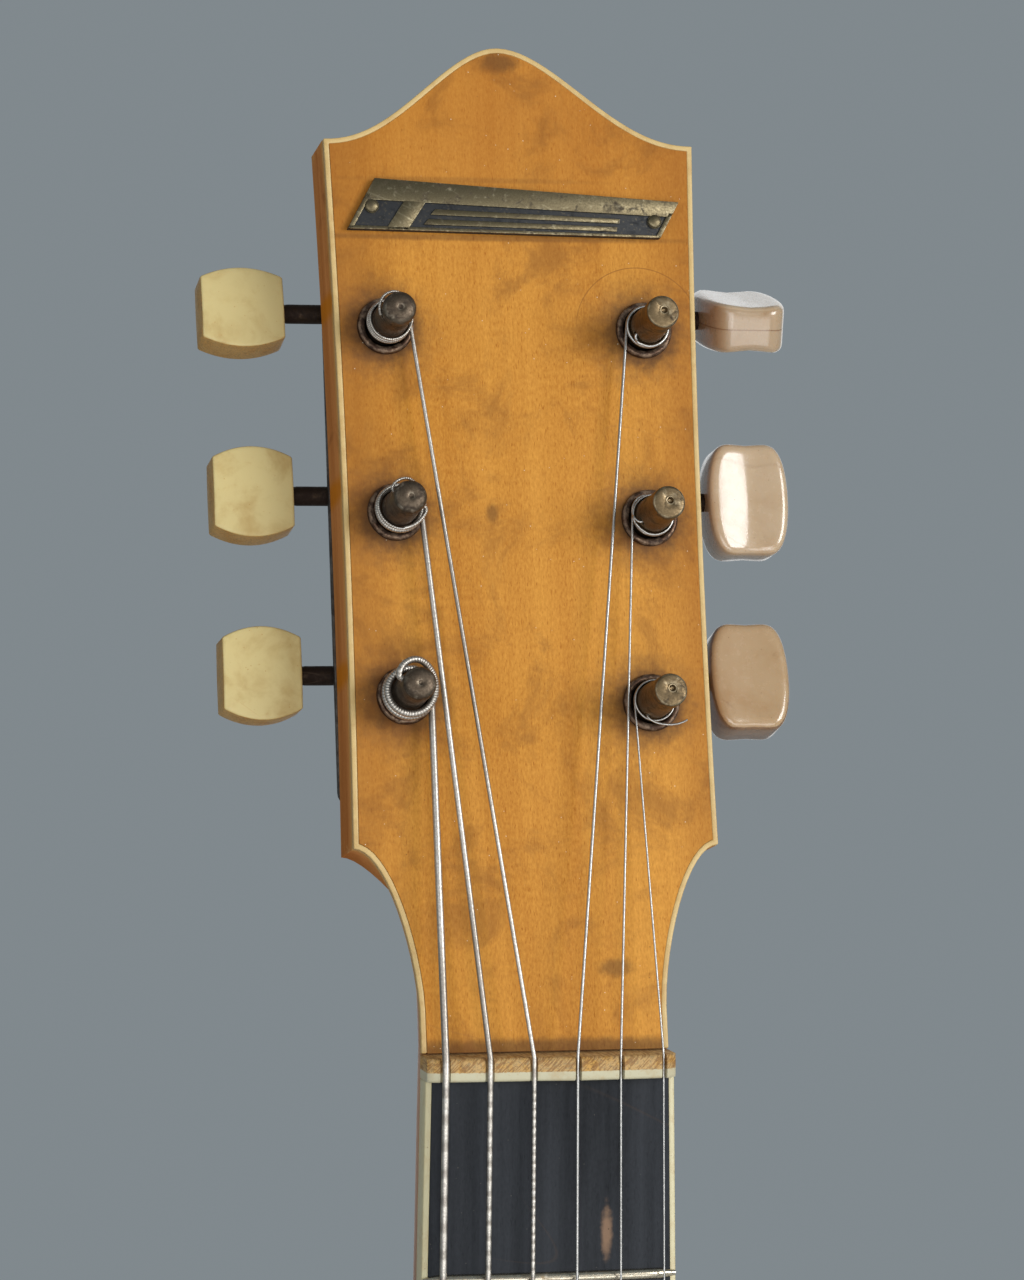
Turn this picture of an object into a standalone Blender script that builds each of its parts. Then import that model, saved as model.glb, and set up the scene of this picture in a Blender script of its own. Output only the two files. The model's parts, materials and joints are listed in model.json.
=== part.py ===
"""Archtop guitar, held up by its headstock. Metres, +Z up along the neck, the front faces -Y.

Three local frames share the X axis: the body, whose rim plane is upright, the neck, pitched back from
it, and the headstock, tilted back from the neck. In each of them x runs to the treble side, y runs in
from the front surface and z runs up. The part's origin is where a hanger's yoke takes the headstock.
"""

import math

import bmesh
import bpy
from mathutils import Matrix, Vector
from mathutils.bvhtree import BVHTree

MM = 0.001
GAP = 0.3 * MM  # between pieces that touch

# Scale, neck and fingerboard
SCALE_LENGTH = 628.65 * MM
FRET_COUNT = 20
JOIN_FRET = 14  # where the neck meets the body
NECK_PITCH = math.radians(3.5)
NUT_WIDTH = 45.3 * MM
NUT_THICK = 4.2 * MM
NUT_RISE = 1.5 * MM  # bottom of the string slots above the board
JOIN_WIDTH = 56 * MM
BOARD_THICK = 6 * MM
BOARD_RADIUS = 305 * MM
BOARD_RISE = 18 * MM  # board surface above the rim plane where the neck joins
BOARD_TAIL = 7 * MM  # board past the last fret
BOARD_BINDING = 1.1 * MM
FRET_WIDTH = 2.0 * MM
FRET_HEIGHT = 1.0 * MM
SHAFT_DEPTH_NUT = 15 * MM
SHAFT_DEPTH_JOIN = 19 * MM
HEEL_LENGTH = 34 * MM
EXTENSION_WIDTH = 40 * MM
NECK_BAR_SIZE = (6 * MM, 9 * MM, 330 * MM)  # across, deep, long
NECK_BAR_TOP = 8.5 * MM
TENON_WIDTH = 32 * MM
TENON_LENGTH = 16 * MM
TENON_SPAN = (21 * MM, 59 * MM)  # in from the rim plane

# Headstock
HEAD_TILT = math.radians(12)
HEAD_DROP = 4.8 * MM  # face below the board surface, at the nut
HEAD_THICK = 15 * MM
HEAD_LENGTH = 185.8 * MM
HEAD_LOW_Z = 37.0 * MM  # lower corners
HEAD_HIGH_Z = 167.8 * MM  # upper corners
HEAD_LOW_HALF = 33.6 * MM
HEAD_WAIST_HALF = 33.4 * MM
HEAD_HIGH_HALF = 34.8 * MM
HEAD_NECK_HALF = 22.6 * MM
SHOULDER_Z = 8 * MM  # where the shoulders start to widen
SHOULDER_UNDERCUT = 4.5 * MM  # how far the core's back stands in below the lower corners
CROWN_X = -1.6 * MM  # the crown's peak stands off the middle line
CROWN_LEAN = 1.15  # how late the crown's curve starts to rise
VENEER_THICK = 1.5 * MM
HEAD_BINDING = 1.2 * MM
HANGER_Z = 26 * MM
PLATE_CORNERS = ((-25.8, 160.1), (31.4, 156.6), (27.6, 149.7), (-31.1, 150.5))  # mm
PLATE_PINS = ((-26.5, 154.8), (26.6, 152.8))  # mm
PLATE_THICK = 1.2 * MM
PIN_HEAD = 0.5 * MM

# Tuners: low E to D up the bass side, G to high E down the treble side
STRING_NAMES = ("low_e", "a", "d", "g", "b", "high_e")
POST_PLACES = (  # mm on the face, string by string
    (-23.3, 64.5),
    (-23.8, 98.1),
    (-24.5, 132.6),
    (23.9, 132.4),
    (23.4, 97.2),
    (22.2, 63.0),
)
POST_RADIUS = 3.0 * MM
POST_HEIGHT = 15 * MM
SLEEVE_RADIUS = 4.0 * MM
SLEEVE_DEPTH = 8 * MM
COLLAR_RADIUS = 5.25 * MM
COLLAR_HEIGHT = 0.8 * MM
TUNER_PLATE_THICK = 1.2 * MM
TUNER_PLATE_X = (15.4 * MM, 33.9 * MM)
TUNER_PLATE_Z = (47 * MM, 155 * MM)
GEAR_TEETH = 12
WORM_PITCH = 2.4 * MM
GEAR_PITCH_RADIUS = GEAR_TEETH * WORM_PITCH / math.tau
WORM_PITCH_RADIUS = 2.4 * MM
GEAR_OUTER = 5.18 * MM
GEAR_ROOT = 3.82 * MM
GEAR_HUB = 2.6 * MM
GEAR_SPAN = (18.6 * MM, 21.2 * MM)
TOOTH_STEPS = (0.30, 0.11)  # half widths at the root and the tip, in shares of a tooth's step
WORM_DEPTH = 19.9 * MM  # worm axis behind the face
WORM_OFFSET = 7.0 * MM  # worm axis above the post's axis
WORM_CREST = 3.0 * MM
WORM_ROOT = 1.64 * MM
THREAD_HALF_WIDTH = 0.68 * MM
WORM_TURNS = 3.5
SHAFT_RADIUS = 1.8 * MM
LUG_THICK = 1.3 * MM
LUG_HALF_SPACING = 6.2 * MM  # inner faces of the two lugs either side of a worm
LUG_WIDTH = 7.4 * MM
BUTTON_REACH = 15.7 * MM  # from a post's axis to its button
BUTTON_BORE_DEPTH = 8 * MM
BUTTON_SIDES = 10
BUTTON_SIZES = (  # length along the shaft, half width, half thickness, string by string
    (14.6 * MM, 8.7 * MM, 4.3 * MM),
    (14.9 * MM, 8.6 * MM, 4.3 * MM),
    (15.4 * MM, 7.8 * MM, 4.3 * MM),
    (15.8 * MM, 10.9 * MM, 4.8 * MM),
    (15.7 * MM, 10.9 * MM, 4.8 * MM),
    (15.3 * MM, 10.6 * MM, 4.8 * MM),
)
CREAM_SHAPE = (  # shares of the length, of the width there and of the thickness there
    (0.0, 0.78, 0.88),
    (0.14, 0.88, 0.95),
    (0.36, 0.98, 1.0),
    (0.64, 0.98, 1.0),
    (0.86, 0.88, 0.95),
    (1.0, 0.78, 0.88),
)
CARAMEL_SHAPE = (
    (0.0, 0.34, 0.7),
    (0.09, 0.72, 0.98),
    (0.25, 0.98, 1.0),
    (0.55, 0.98, 0.86),
    (0.83, 0.98, 0.95),
    (0.94, 0.7, 0.93),
    (1.0, 0.34, 0.7),
)

# Body
RIM_DEPTH = 82 * MM
RIM_WALL = 2.5 * MM
PLATE_EDGE = 4 * MM
PLATE_CENTRE_EXTRA = 2 * MM
ARCH = 18 * MM
ARCH_FOOT = 0.955  # share of the outline where the arch starts to rise
ARCH_CENTRE_Z = -275 * MM
BINDING_THICK = 1.6 * MM
BINDING_HEIGHT = 6 * MM
LINING_THICK = 6 * MM
LINING_HEIGHT = 12 * MM
BODY_STEPS = 40
BODY_HALF_OUTLINE = (  # mm, from the neck down the treble side to the end pin
    (0, 0),
    (50, -3),
    (100, -20),
    (134, -56),
    (146, -103),
    (137, -150),
    (121, -190),
    (119, -225),
    (136, -268),
    (168, -312),
    (194, -352),
    (203, -395),
    (193, -440),
    (158, -478),
    (105, -500),
    (50, -507),
    (0, -508),
)
F_HOLE_LINE = (  # mm, centre line of the treble f-hole, from its upper eye to its lower eye
    (66, -222),
    (71, -214),
    (79, -216),
    (84, -228),
    (87, -252),
    (91, -280),
    (95, -308),
    (99, -332),
    (105, -344),
    (114, -346),
    (119, -338),
)
F_HOLE_EYES = ((63.5 * MM, -224 * MM, 4.5 * MM), (117 * MM, -335 * MM, 5.5 * MM))
F_HOLE_WIDTH = 8.5 * MM
BLOCK_HALF_WIDTH = 34 * MM
BLOCK_LENGTH = 42 * MM
TONE_BAR_X = 27 * MM
TONE_BAR_SPAN = (-150 * MM, -395 * MM)
TONE_BAR_WIDTH = 7 * MM
TONE_BAR_HEIGHT = 13 * MM

# Bridge
STRING_HEIGHT_BRIDGE = 6 * MM  # string axis above the board's plane
STRING_SPACING_NUT = 7.93 * MM
STRING_SHIFT_NUT = 0.27 * MM  # the slots stand a little to the treble side
STRING_SPACING_BRIDGE = 10.4 * MM
BRIDGE_HALF_LENGTH = 72 * MM
BRIDGE_HALF_DEPTH = 6.5 * MM
FOOT_INNER_X = 40 * MM
BASE_TOP_Y = -27 * MM
SADDLE_BOTTOM_Y = -31.8 * MM
SADDLE_HALF_LENGTH = 46 * MM
SADDLE_HALF_DEPTH = 5 * MM
STUD_X = 37 * MM
STUD_RADIUS = 1.75 * MM
STUD_TOP_Y = -38 * MM
WHEEL_RADIUS = 8 * MM
WHEEL_SPAN = (-28.4 * MM, -31.4 * MM)

# Strings, low E first, and how many times each is wound round its post
STRING_DIAMETERS = (1.32 * MM, 1.07 * MM, 0.84 * MM, 0.58 * MM, 0.45 * MM, 0.38 * MM)
STRING_TURNS = (2.5, 2.0, 3.5, 3.0, 3.0, 3.5)
FIRST_WRAP_HEIGHT = 3.2 * MM
WRAP_GAP = 0.46 * MM
POINTS_PER_TURN = 12
STRING_TAIL = 3.5 * MM

# Tailpiece, end pin and pickguard
CROSSBAR_Z = -374 * MM
CROSSBAR_Y = -27 * MM
CROSSBAR_HALF = 38 * MM
TAIL_FOOT_HALF = 17 * MM
PIN_Y = 43 * MM
PIN_RADIUS = 4 * MM
GUARD_OUTLINE = (  # mm in the neck's frame
    (33, -405),
    (48, -402),
    (66, -410),
    (84, -430),
    (93, -462),
    (90, -505),
    (78, -550),
    (60, -585),
    (42, -606),
    (32, -606),
)

BODY_END_Z = BODY_HALF_OUTLINE[-1][1] * MM


def fret_distance(fret):
    """From the nut to a fret, by equal temperament."""
    return SCALE_LENGTH * (1 - 2 ** (-fret / 12))


NECK_LENGTH = fret_distance(JOIN_FRET)
BOARD_LENGTH = fret_distance(FRET_COUNT) + BOARD_TAIL

# The three frames
NECK_IN_BODY = Matrix.Translation(
    (0, NECK_LENGTH * math.sin(NECK_PITCH) - BOARD_RISE, NECK_LENGTH * math.cos(NECK_PITCH))
) @ Matrix.Rotation(-NECK_PITCH, 4, "X")
HEAD_IN_NECK = Matrix.Translation((0, HEAD_DROP, NUT_THICK)) @ Matrix.Rotation(-HEAD_TILT, 4, "X")
HANGER_IN_BODY = NECK_IN_BODY @ HEAD_IN_NECK @ Vector((0, HEAD_THICK / 2, HANGER_Z))
BODY = Matrix.Translation(-HANGER_IN_BODY)
NECK = BODY @ NECK_IN_BODY
HEAD = NECK @ HEAD_IN_NECK

FINISHES = {  # colour, roughness, metallic
    "amber_veneer": ((0.52, 0.22, 0.06), 0.35, 0.0),
    "maple": ((0.36, 0.13, 0.05), 0.35, 0.0),
    "spruce": ((0.62, 0.34, 0.11), 0.35, 0.0),
    "inner_spruce": ((0.70, 0.52, 0.32), 0.7, 0.0),
    "rosewood": ((0.07, 0.035, 0.02), 0.5, 0.0),
    "cream_binding": ((0.80, 0.70, 0.48), 0.4, 0.0),
    "bone": ((0.80, 0.72, 0.55), 0.45, 0.0),
    "cream_button": ((0.78, 0.70, 0.52), 0.3, 0.0),
    "caramel_button": ((0.62, 0.40, 0.26), 0.25, 0.0),
    "dark_steel": ((0.16, 0.15, 0.14), 0.45, 1.0),
    "aged_nickel": ((0.55, 0.50, 0.42), 0.35, 1.0),
    "brass": ((0.66, 0.48, 0.22), 0.35, 1.0),
    "wound_wire": ((0.42, 0.38, 0.33), 0.35, 1.0),
    "plain_wire": ((0.75, 0.73, 0.70), 0.2, 1.0),
    "black_plastic": ((0.03, 0.02, 0.02), 0.25, 0.0),
}


def clear_scene():
    for obj in list(bpy.data.objects):
        bpy.data.objects.remove(obj, do_unlink=True)


def material(name):
    found = bpy.data.materials.get(name)
    if found:
        return found
    colour, roughness, metallic = FINISHES[name]
    made = bpy.data.materials.new(name)
    made.use_nodes = True
    shader = made.node_tree.nodes["Principled BSDF"]
    shader.inputs["Base Color"].default_value = (*colour, 1)
    shader.inputs["Roughness"].default_value = roughness
    shader.inputs["Metallic"].default_value = metallic
    return made


def place(name, bm, finish, frame, at=(0, 0, 0), turn=None, smooth=False):
    """An object from a closed bmesh, whose mesh is about the point at in the frame."""
    bmesh.ops.recalc_face_normals(bm, faces=bm.faces)
    mesh = bpy.data.meshes.new(name)
    bm.to_mesh(mesh)
    bm.free()
    if smooth:
        mesh.shade_smooth()
        mesh.set_sharp_from_angle(angle=math.radians(40))
    obj = bpy.data.objects.new(name, mesh)
    bpy.context.scene.collection.objects.link(obj)
    obj.data.materials.append(material(finish))
    obj.matrix_world = frame @ Matrix.Translation(at) @ (turn or Matrix())
    return obj


def boolean(obj, other, operation):
    """Cuts other from obj, or joins it on, and hides other."""
    modifier = obj.modifiers.new(other.name, "BOOLEAN")
    modifier.operation = operation
    modifier.object = other
    other.hide_render = True
    other.display_type = "WIRE"


def cut(obj, *cutters):
    for cutter in cutters:
        boolean(obj, cutter, "DIFFERENCE")


def join(obj, *pieces):
    for piece in pieces:
        boolean(obj, piece, "UNION")


def loft(rings, closed=False):
    """Skins rings that have the same number of points. A closed loft returns to its first ring."""
    bm = bmesh.new()
    rows = [[bm.verts.new(point) for point in ring] for ring in rings]
    following = rows[1:] + rows[:1] if closed else rows[1:]
    for row, after in zip(rows, following):
        for i in range(len(row)):
            j = (i + 1) % len(row)
            bm.faces.new((row[i], row[j], after[j], after[i]))
    if not closed:
        bm.faces.new(rows[0])
        bm.faces.new(rows[-1])
    return bm


def ring(radius, sides, height, axis="y"):
    """A circle of points about an axis."""
    points = []
    for i in range(sides):
        a = math.tau * i / sides
        u, v = radius * math.cos(a), radius * math.sin(a)
        points.append({"x": (height, u, v), "y": (u, height, v), "z": (u, v, height)}[axis])
    return points


def turned(profile, sides, axis="y", closed=False):
    """A turned shape from (radius, height) pairs."""
    return loft([ring(radius, sides, height, axis) for radius, height in profile], closed)


def prism(outline, low, high):
    """An (x, z) outline extruded from y = low to y = high."""
    return loft([[(x, low, z) for x, z in outline], [(x, high, z) for x, z in outline]])


def box(low, high):
    outline = ((low[0], low[2]), (high[0], low[2]), (high[0], high[2]), (low[0], high[2]))
    return prism(outline, low[1], high[1])


def offset(outline, distance):
    """A closed (x, z) outline moved inwards by a distance, with its corners kept."""
    area = sum(a[0] * b[1] - b[0] * a[1] for a, b in zip(outline, outline[1:] + outline[:1]))
    inward = distance if area > 0 else -distance
    moved = []
    for i, point in enumerate(outline):
        before = Vector(point) - Vector(outline[i - 1])
        after = Vector(outline[(i + 1) % len(outline)]) - Vector(point)
        first = Vector((-before.y, before.x)).normalized()
        second = Vector((-after.y, after.x)).normalized()
        bisector = (first + second).normalized()
        moved.append(tuple(Vector(point) + bisector * inward / bisector.dot(first)))
    return moved


def catmull_rom(points, t, closed=False):
    """A point of the smooth curve through the given points; whole values of t are the points."""
    count = len(points)
    start = min(math.floor(t), count - (1 if closed else 2))
    u = t - start
    if closed:
        a, b, c, d = (Vector(points[(start + k) % count]) for k in (-1, 0, 1, 2))
    else:
        a, b, c, d = (Vector(points[min(max(start + k, 0), count - 1)]) for k in (-1, 0, 1, 2))
    return 0.5 * (2 * b + (c - a) * u + (2 * a - 5 * b + 4 * c - d) * u**2 + (3 * b - a - 3 * c + d) * u**3)


def smoothstep(t):
    return t * t * (3 - 2 * t)


def side_of(string):
    """-1 on the bass side and 1 on the treble side."""
    return -1 if string < 3 else 1


def post_place(string):
    """(x, z) of a string's post in the headstock's frame."""
    x, z = POST_PLACES[string]
    return x * MM, z * MM


def nut_x(string):
    return (string - 2.5) * STRING_SPACING_NUT + STRING_SHIFT_NUT


def bridge_x(string):
    return (string - 2.5) * STRING_SPACING_BRIDGE


def board_width(z):
    """Width of the fingerboard at a height z in the neck's frame."""
    return NUT_WIDTH + (JOIN_WIDTH - NUT_WIDTH) * -z / NECK_LENGTH


def camber(x):
    """How far the board's surface falls away from its middle at x."""
    return BOARD_RADIUS - math.sqrt(BOARD_RADIUS**2 - x**2)


# Headstock


def head_outline():
    """The face's outline from the treble side of the nut, round the crown, to the bass side."""
    halves = []
    for side in (1, -1):
        half = [(side * HEAD_NECK_HALF, 0.0)]
        for step in range(6):
            a = math.pi / 2 * step / 5
            out = HEAD_NECK_HALF + (HEAD_LOW_HALF - HEAD_NECK_HALF) * (1 - math.cos(a)) ** 0.8
            half.append((side * out, SHOULDER_Z + (HEAD_LOW_Z - SHOULDER_Z) * math.sin(a)))
        half.append((side * HEAD_WAIST_HALF, (HEAD_LOW_Z + HEAD_HIGH_Z) / 2))
        for step in range(8):
            u = step / 8
            rise = smoothstep(u**CROWN_LEAN)
            x = side * HEAD_HIGH_HALF * (1 - u) + CROWN_X * u
            half.append((x, HEAD_HIGH_Z + (HEAD_LENGTH - HEAD_HIGH_Z) * rise))
        halves.append(half)
    return halves[0] + [(CROWN_X, HEAD_LENGTH)] + halves[1][::-1]


def make_headstock_veneer(holes):
    inner = offset(head_outline(), HEAD_BINDING + GAP)
    outline = [(x, max(z, GAP)) for x, z in inner]
    veneer = place("headstock_veneer", prism(outline, 0, VENEER_THICK), "amber_veneer", HEAD)
    cut(veneer, *holes)


def make_headstock_binding():
    """The line round the face, open at the nut."""
    outer = head_outline()
    inner = offset(outer, HEAD_BINDING)
    outer[0] = (outer[0][0], GAP)
    outer[-1] = (outer[-1][0], GAP)
    inner[0] = (inner[0][0], GAP)
    inner[-1] = (inner[-1][0], GAP)
    place("headstock_binding", prism(outer + inner[::-1], 0, VENEER_THICK), "cream_binding", HEAD)


def make_post_holes():
    """Cutters for the sleeves of the ferrules, one for each string."""
    holes = []
    for string, name in enumerate(STRING_NAMES):
        x, z = post_place(string)
        profile = ((SLEEVE_RADIUS + GAP, -2 * MM), (SLEEVE_RADIUS + GAP, HEAD_THICK + 2 * MM))
        holes.append(place(f"post_hole_{name}", turned(profile, 10), "maple", HEAD, (x, 0, z)))
    return holes


def make_nameplate():
    corners = [(x * MM, z * MM) for x, z in PLATE_CORNERS]
    plate = place("nameplate", prism(corners, -GAP - PLATE_THICK, -GAP), "aged_nickel", HEAD)
    front = -GAP - PLATE_THICK
    for number, (x, z) in enumerate(PLATE_PINS):
        profile = ((1.1 * MM, front - PIN_HEAD), (1.4 * MM, front + 0.2 * MM))
        at = (x * MM, 0, z * MM)
        join(plate, place(f"plate_pin_{number}", turned(profile, 8), "aged_nickel", HEAD, at))


# Neck


def body_height(y, z):
    """Height in the body's frame of a point of the neck's frame."""
    return (NECK_IN_BODY @ Vector((0, y, z))).z


def neck_section(z, top, depth, width, blunt):
    """A rounded section below the board. blunt squares its sides off, as the heel's are."""
    points = []
    for step in range(11):
        a = math.pi * step / 10
        across = math.copysign(abs(math.cos(a)) ** blunt, math.cos(a))
        points.append([width / 2 * across, top + depth * math.sin(a) ** blunt, z])
    return points


def heel_face():
    """The section that meets the rim: upright in the body's frame and cut flat for the heel cap."""
    top = BOARD_THICK + GAP
    floor_y = RIM_DEPTH - 3.3 * MM
    points = []
    for x, y, _ in neck_section(0, top, RIM_DEPTH + 30 * MM, JOIN_WIDTH, 0.75):
        z = (GAP - body_height(y, 0)) / math.cos(NECK_PITCH)
        point = NECK_IN_BODY @ Vector((x, y, z))
        if point.y > floor_y:
            point.y = floor_y
        points.append(tuple(NECK_IN_BODY.inverted() @ point))
    return points


def make_neck(holes):
    top = BOARD_THICK + GAP
    core_top = HEAD_DROP + (VENEER_THICK + GAP) / math.cos(HEAD_TILT)
    rings = []
    for rise in (12 * MM, 5 * MM, 0.4 * MM):
        z = NUT_THICK + rise
        y = core_top + rise * math.tan(HEAD_TILT)
        back = HEAD_DROP + HEAD_THICK / math.cos(HEAD_TILT) + rise * math.tan(HEAD_TILT) - 0.3 * MM
        rings.append(neck_section(z, y, back - y, 2 * HEAD_NECK_HALF - 0.6 * MM, 0.7))
    stations = (0, -60, -150, -240, -(NECK_LENGTH - HEEL_LENGTH) / MM)
    for z_mm in stations:
        share = -z_mm * MM / NECK_LENGTH
        depth = SHAFT_DEPTH_NUT + (SHAFT_DEPTH_JOIN - SHAFT_DEPTH_NUT) * share
        rings.append(neck_section(z_mm * MM, top, depth, board_width(z_mm * MM), 0.8))
    for share, depth in ((0.35, 22 * MM), (0.62, 33 * MM), (0.82, 52 * MM)):
        z = -NECK_LENGTH + HEEL_LENGTH * (1 - share)
        rings.append(neck_section(z, top, depth, board_width(z), 0.78))
    rings.append(heel_face())
    neck = place("neck", loft(rings), "maple", NECK, smooth=True)

    front, back = [], []
    for x, z in head_outline():
        fade = min(max(HEAD_LOW_Z - z, 0) / SHOULDER_Z, 1)
        front.append((x, VENEER_THICK + GAP, max(z, GAP)))
        back.append((x - math.copysign(SHOULDER_UNDERCUT * fade, x), HEAD_THICK, max(z, GAP)))
    join(neck, place("headstock_core", loft([front, back]), "maple", HEAD))

    half = EXTENSION_WIDTH / 2
    extension = (
        ((-half, top, -BOARD_LENGTH + 4 * MM), (half, top, -BOARD_LENGTH + 4 * MM)),
        ((half, top + 3 * MM, -BOARD_LENGTH + 4 * MM), (-half, top + 3 * MM, -BOARD_LENGTH + 4 * MM)),
    )
    far = extension[0] + extension[1]
    near = [(x, top if y == top else top + 7 * MM, -NECK_LENGTH + 3 * MM) for x, y, _ in far]
    join(neck, place("neck_extension", loft([far, near]), "maple", NECK))

    low = (-TENON_WIDTH / 2, TENON_SPAN[0], -TENON_LENGTH)
    high = (TENON_WIDTH / 2, TENON_SPAN[1], 2 * MM)
    join(neck, place("neck_tenon", box(low, high), "maple", BODY))

    across, deep, long = NECK_BAR_SIZE
    channel_low = (-across / 2 - GAP, top - 1 * MM, -long - 8 * MM - GAP)
    channel_high = (across / 2 + GAP, NECK_BAR_TOP + deep + GAP, -8 * MM + GAP)
    cut(neck, place("bar_channel", box(channel_low, channel_high), "maple", NECK), *holes)

    bar_low = (-across / 2, NECK_BAR_TOP, -long - 8 * MM)
    bar_high = (across / 2, NECK_BAR_TOP + deep, -8 * MM)
    place("neck_bar", box(bar_low, bar_high), "dark_steel", NECK)


def make_heel_cap():
    """A flat cap over the heel, in line with the back's edge."""
    outline = []
    for x, y, z in heel_face():
        point = NECK_IN_BODY @ Vector((x, y, z))
        if point.y > RIM_DEPTH - 4 * MM:
            outline.append(point.x)
    half = max(outline)
    corners = [(-half, GAP), (half, GAP), (half * 0.7, 7 * MM), (0, 9.5 * MM), (-half * 0.7, 7 * MM)]
    place("heel_cap", prism(corners, RIM_DEPTH - 3 * MM, RIM_DEPTH), "rosewood", BODY)


def make_fingerboard():
    """The board with its frets as ridges, inside its binding."""
    inset = BOARD_BINDING + GAP

    def section(z, rise):
        half = board_width(z) / 2 - inset
        crown = [(x, camber(x) - rise, z) for x in (-half, -half / 3, half / 3, half)]
        return crown + [(half, BOARD_THICK, z), (-half, BOARD_THICK, z)]

    rings = [section(-GAP, 0)]
    for fret in range(1, FRET_COUNT + 1):
        z = -fret_distance(fret)
        rings += [section(z + FRET_WIDTH / 2, 0), section(z, FRET_HEIGHT), section(z - FRET_WIDTH / 2, 0)]
    rings.append(section(-BOARD_LENGTH + inset, 0))
    place("fingerboard", loft(rings), "rosewood", NECK)


def make_fingerboard_binding():
    """A strip down both sides of the board and across its end."""
    tail = -BOARD_LENGTH
    wide, narrow = board_width(tail) / 2, board_width(0) / 2
    outline = [
        (-narrow, -GAP),
        (-wide, tail),
        (wide, tail),
        (narrow, -GAP),
        (narrow - BOARD_BINDING, -GAP),
        (wide - BOARD_BINDING, tail + BOARD_BINDING),
        (-wide + BOARD_BINDING, tail + BOARD_BINDING),
        (-narrow + BOARD_BINDING, -GAP),
    ]
    place("fingerboard_binding", prism(outline, 1.2 * MM, BOARD_THICK), "cream_binding", NECK)


def make_nut():
    """Its top follows the board's camber, with a slot for each string."""
    half = NUT_WIDTH / 2
    bottom = BOARD_THICK
    top_points = [(-half, camber(half) - NUT_RISE)]
    for string in range(6):
        x = nut_x(string)
        wide = STRING_DIAMETERS[string] / 2 + GAP
        crest = camber(x) - NUT_RISE - 0.6 * MM
        floor_y = camber(x) - NUT_RISE
        top_points += [(x - wide, crest), (x - wide, floor_y), (x + wide, floor_y), (x + wide, crest)]
    top_points += [(half, camber(half) - NUT_RISE), (half, bottom), (-half, bottom)]
    rings = [[(x, y, z) for x, y in top_points] for z in (GAP, NUT_THICK - GAP)]
    place("nut", loft(rings), "bone", NECK)


# Tuners


def gear_outline(turn):
    """Teeth round a circle, with a gap facing the worm when turn is 0."""
    points = []
    step = math.tau / GEAR_TEETH
    for tooth in range(GEAR_TEETH):
        middle = math.pi / 2 + (tooth + 0.5) * step - turn
        root, tip = TOOTH_STEPS
        for share, radius in ((-root, GEAR_ROOT), (-tip, GEAR_OUTER), (tip, GEAR_OUTER), (root, GEAR_ROOT)):
            a = middle + share * step
            points.append((radius * math.cos(a), radius * math.sin(a)))
    return points


def make_gear(name, x, z):
    """A wheel whose teeth lean with the worm's thread."""
    low, high = GEAR_SPAN
    half = (high - low) / 2
    lean = WORM_PITCH * math.asin(half / WORM_PITCH_RADIUS) / math.tau / GEAR_PITCH_RADIUS
    rings = []
    for y, turn in ((low, -lean), (high, lean)):
        rings.append([(u, y, v) for u, v in gear_outline(turn)])
    return place(f"gear_{name}", loft(rings), "brass", HEAD, (x, 0, z))


def make_string_post(string, name):
    """A post with its toothed wheel, and a hole where the string goes through."""
    x, z = post_place(string)
    profile = (
        (POST_RADIUS * 0.55, -POST_HEIGHT),
        (POST_RADIUS, -POST_HEIGHT + 0.8 * MM),
        (POST_RADIUS, GEAR_SPAN[0] + 1 * MM),
        (GEAR_HUB, GEAR_SPAN[0] + 1 * MM),
        (GEAR_HUB, GEAR_SPAN[1] + 0.9 * MM),
    )
    finish = "aged_nickel" if string < 3 else "brass"
    post = place(f"string_post_{name}", turned(profile, 10), finish, HEAD, (x, 0, z), smooth=True)
    join(post, make_gear(name, x, z))
    cut(post, string_cutter(string, name))


def make_ferrule(string, name):
    x, z = post_place(string)
    bore = POST_RADIUS + 0.35 * MM
    profile = (
        (COLLAR_RADIUS, -GAP),
        (COLLAR_RADIUS - 0.3 * MM, -GAP - COLLAR_HEIGHT),
        (bore, -GAP - COLLAR_HEIGHT),
        (bore, SLEEVE_DEPTH),
        (SLEEVE_RADIUS, SLEEVE_DEPTH),
        (SLEEVE_RADIUS, -GAP),
    )
    bm = turned(profile, 10, closed=True)
    place(f"ferrule_{name}", bm, "dark_steel", HEAD, (x, 0, z), smooth=True)


def make_worm_thread():
    """A V-shaped thread along x, centred on the side that faces the wheel."""
    steps = 7
    sunk = WORM_ROOT - 0.3 * MM
    profile = ((-THREAD_HALF_WIDTH, sunk), (0, WORM_CREST), (THREAD_HALF_WIDTH, sunk))
    rings = []
    for step in range(round(WORM_TURNS * steps) + 1):
        t = step / steps - WORM_TURNS / 2
        a = math.tau * t - math.pi / 2
        rings.append([(WORM_PITCH * t + dx, r * math.cos(a), r * math.sin(a)) for dx, r in profile])
    return loft(rings)


def worm_place(string):
    """The shaft's frame: x runs out to the button, and the wheel is below it."""
    x, z = post_place(string)
    at = (x, WORM_DEPTH, z + WORM_OFFSET)
    turn = Matrix.Rotation(math.pi, 4, "Z") if string < 3 else Matrix()
    return at, turn


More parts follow.
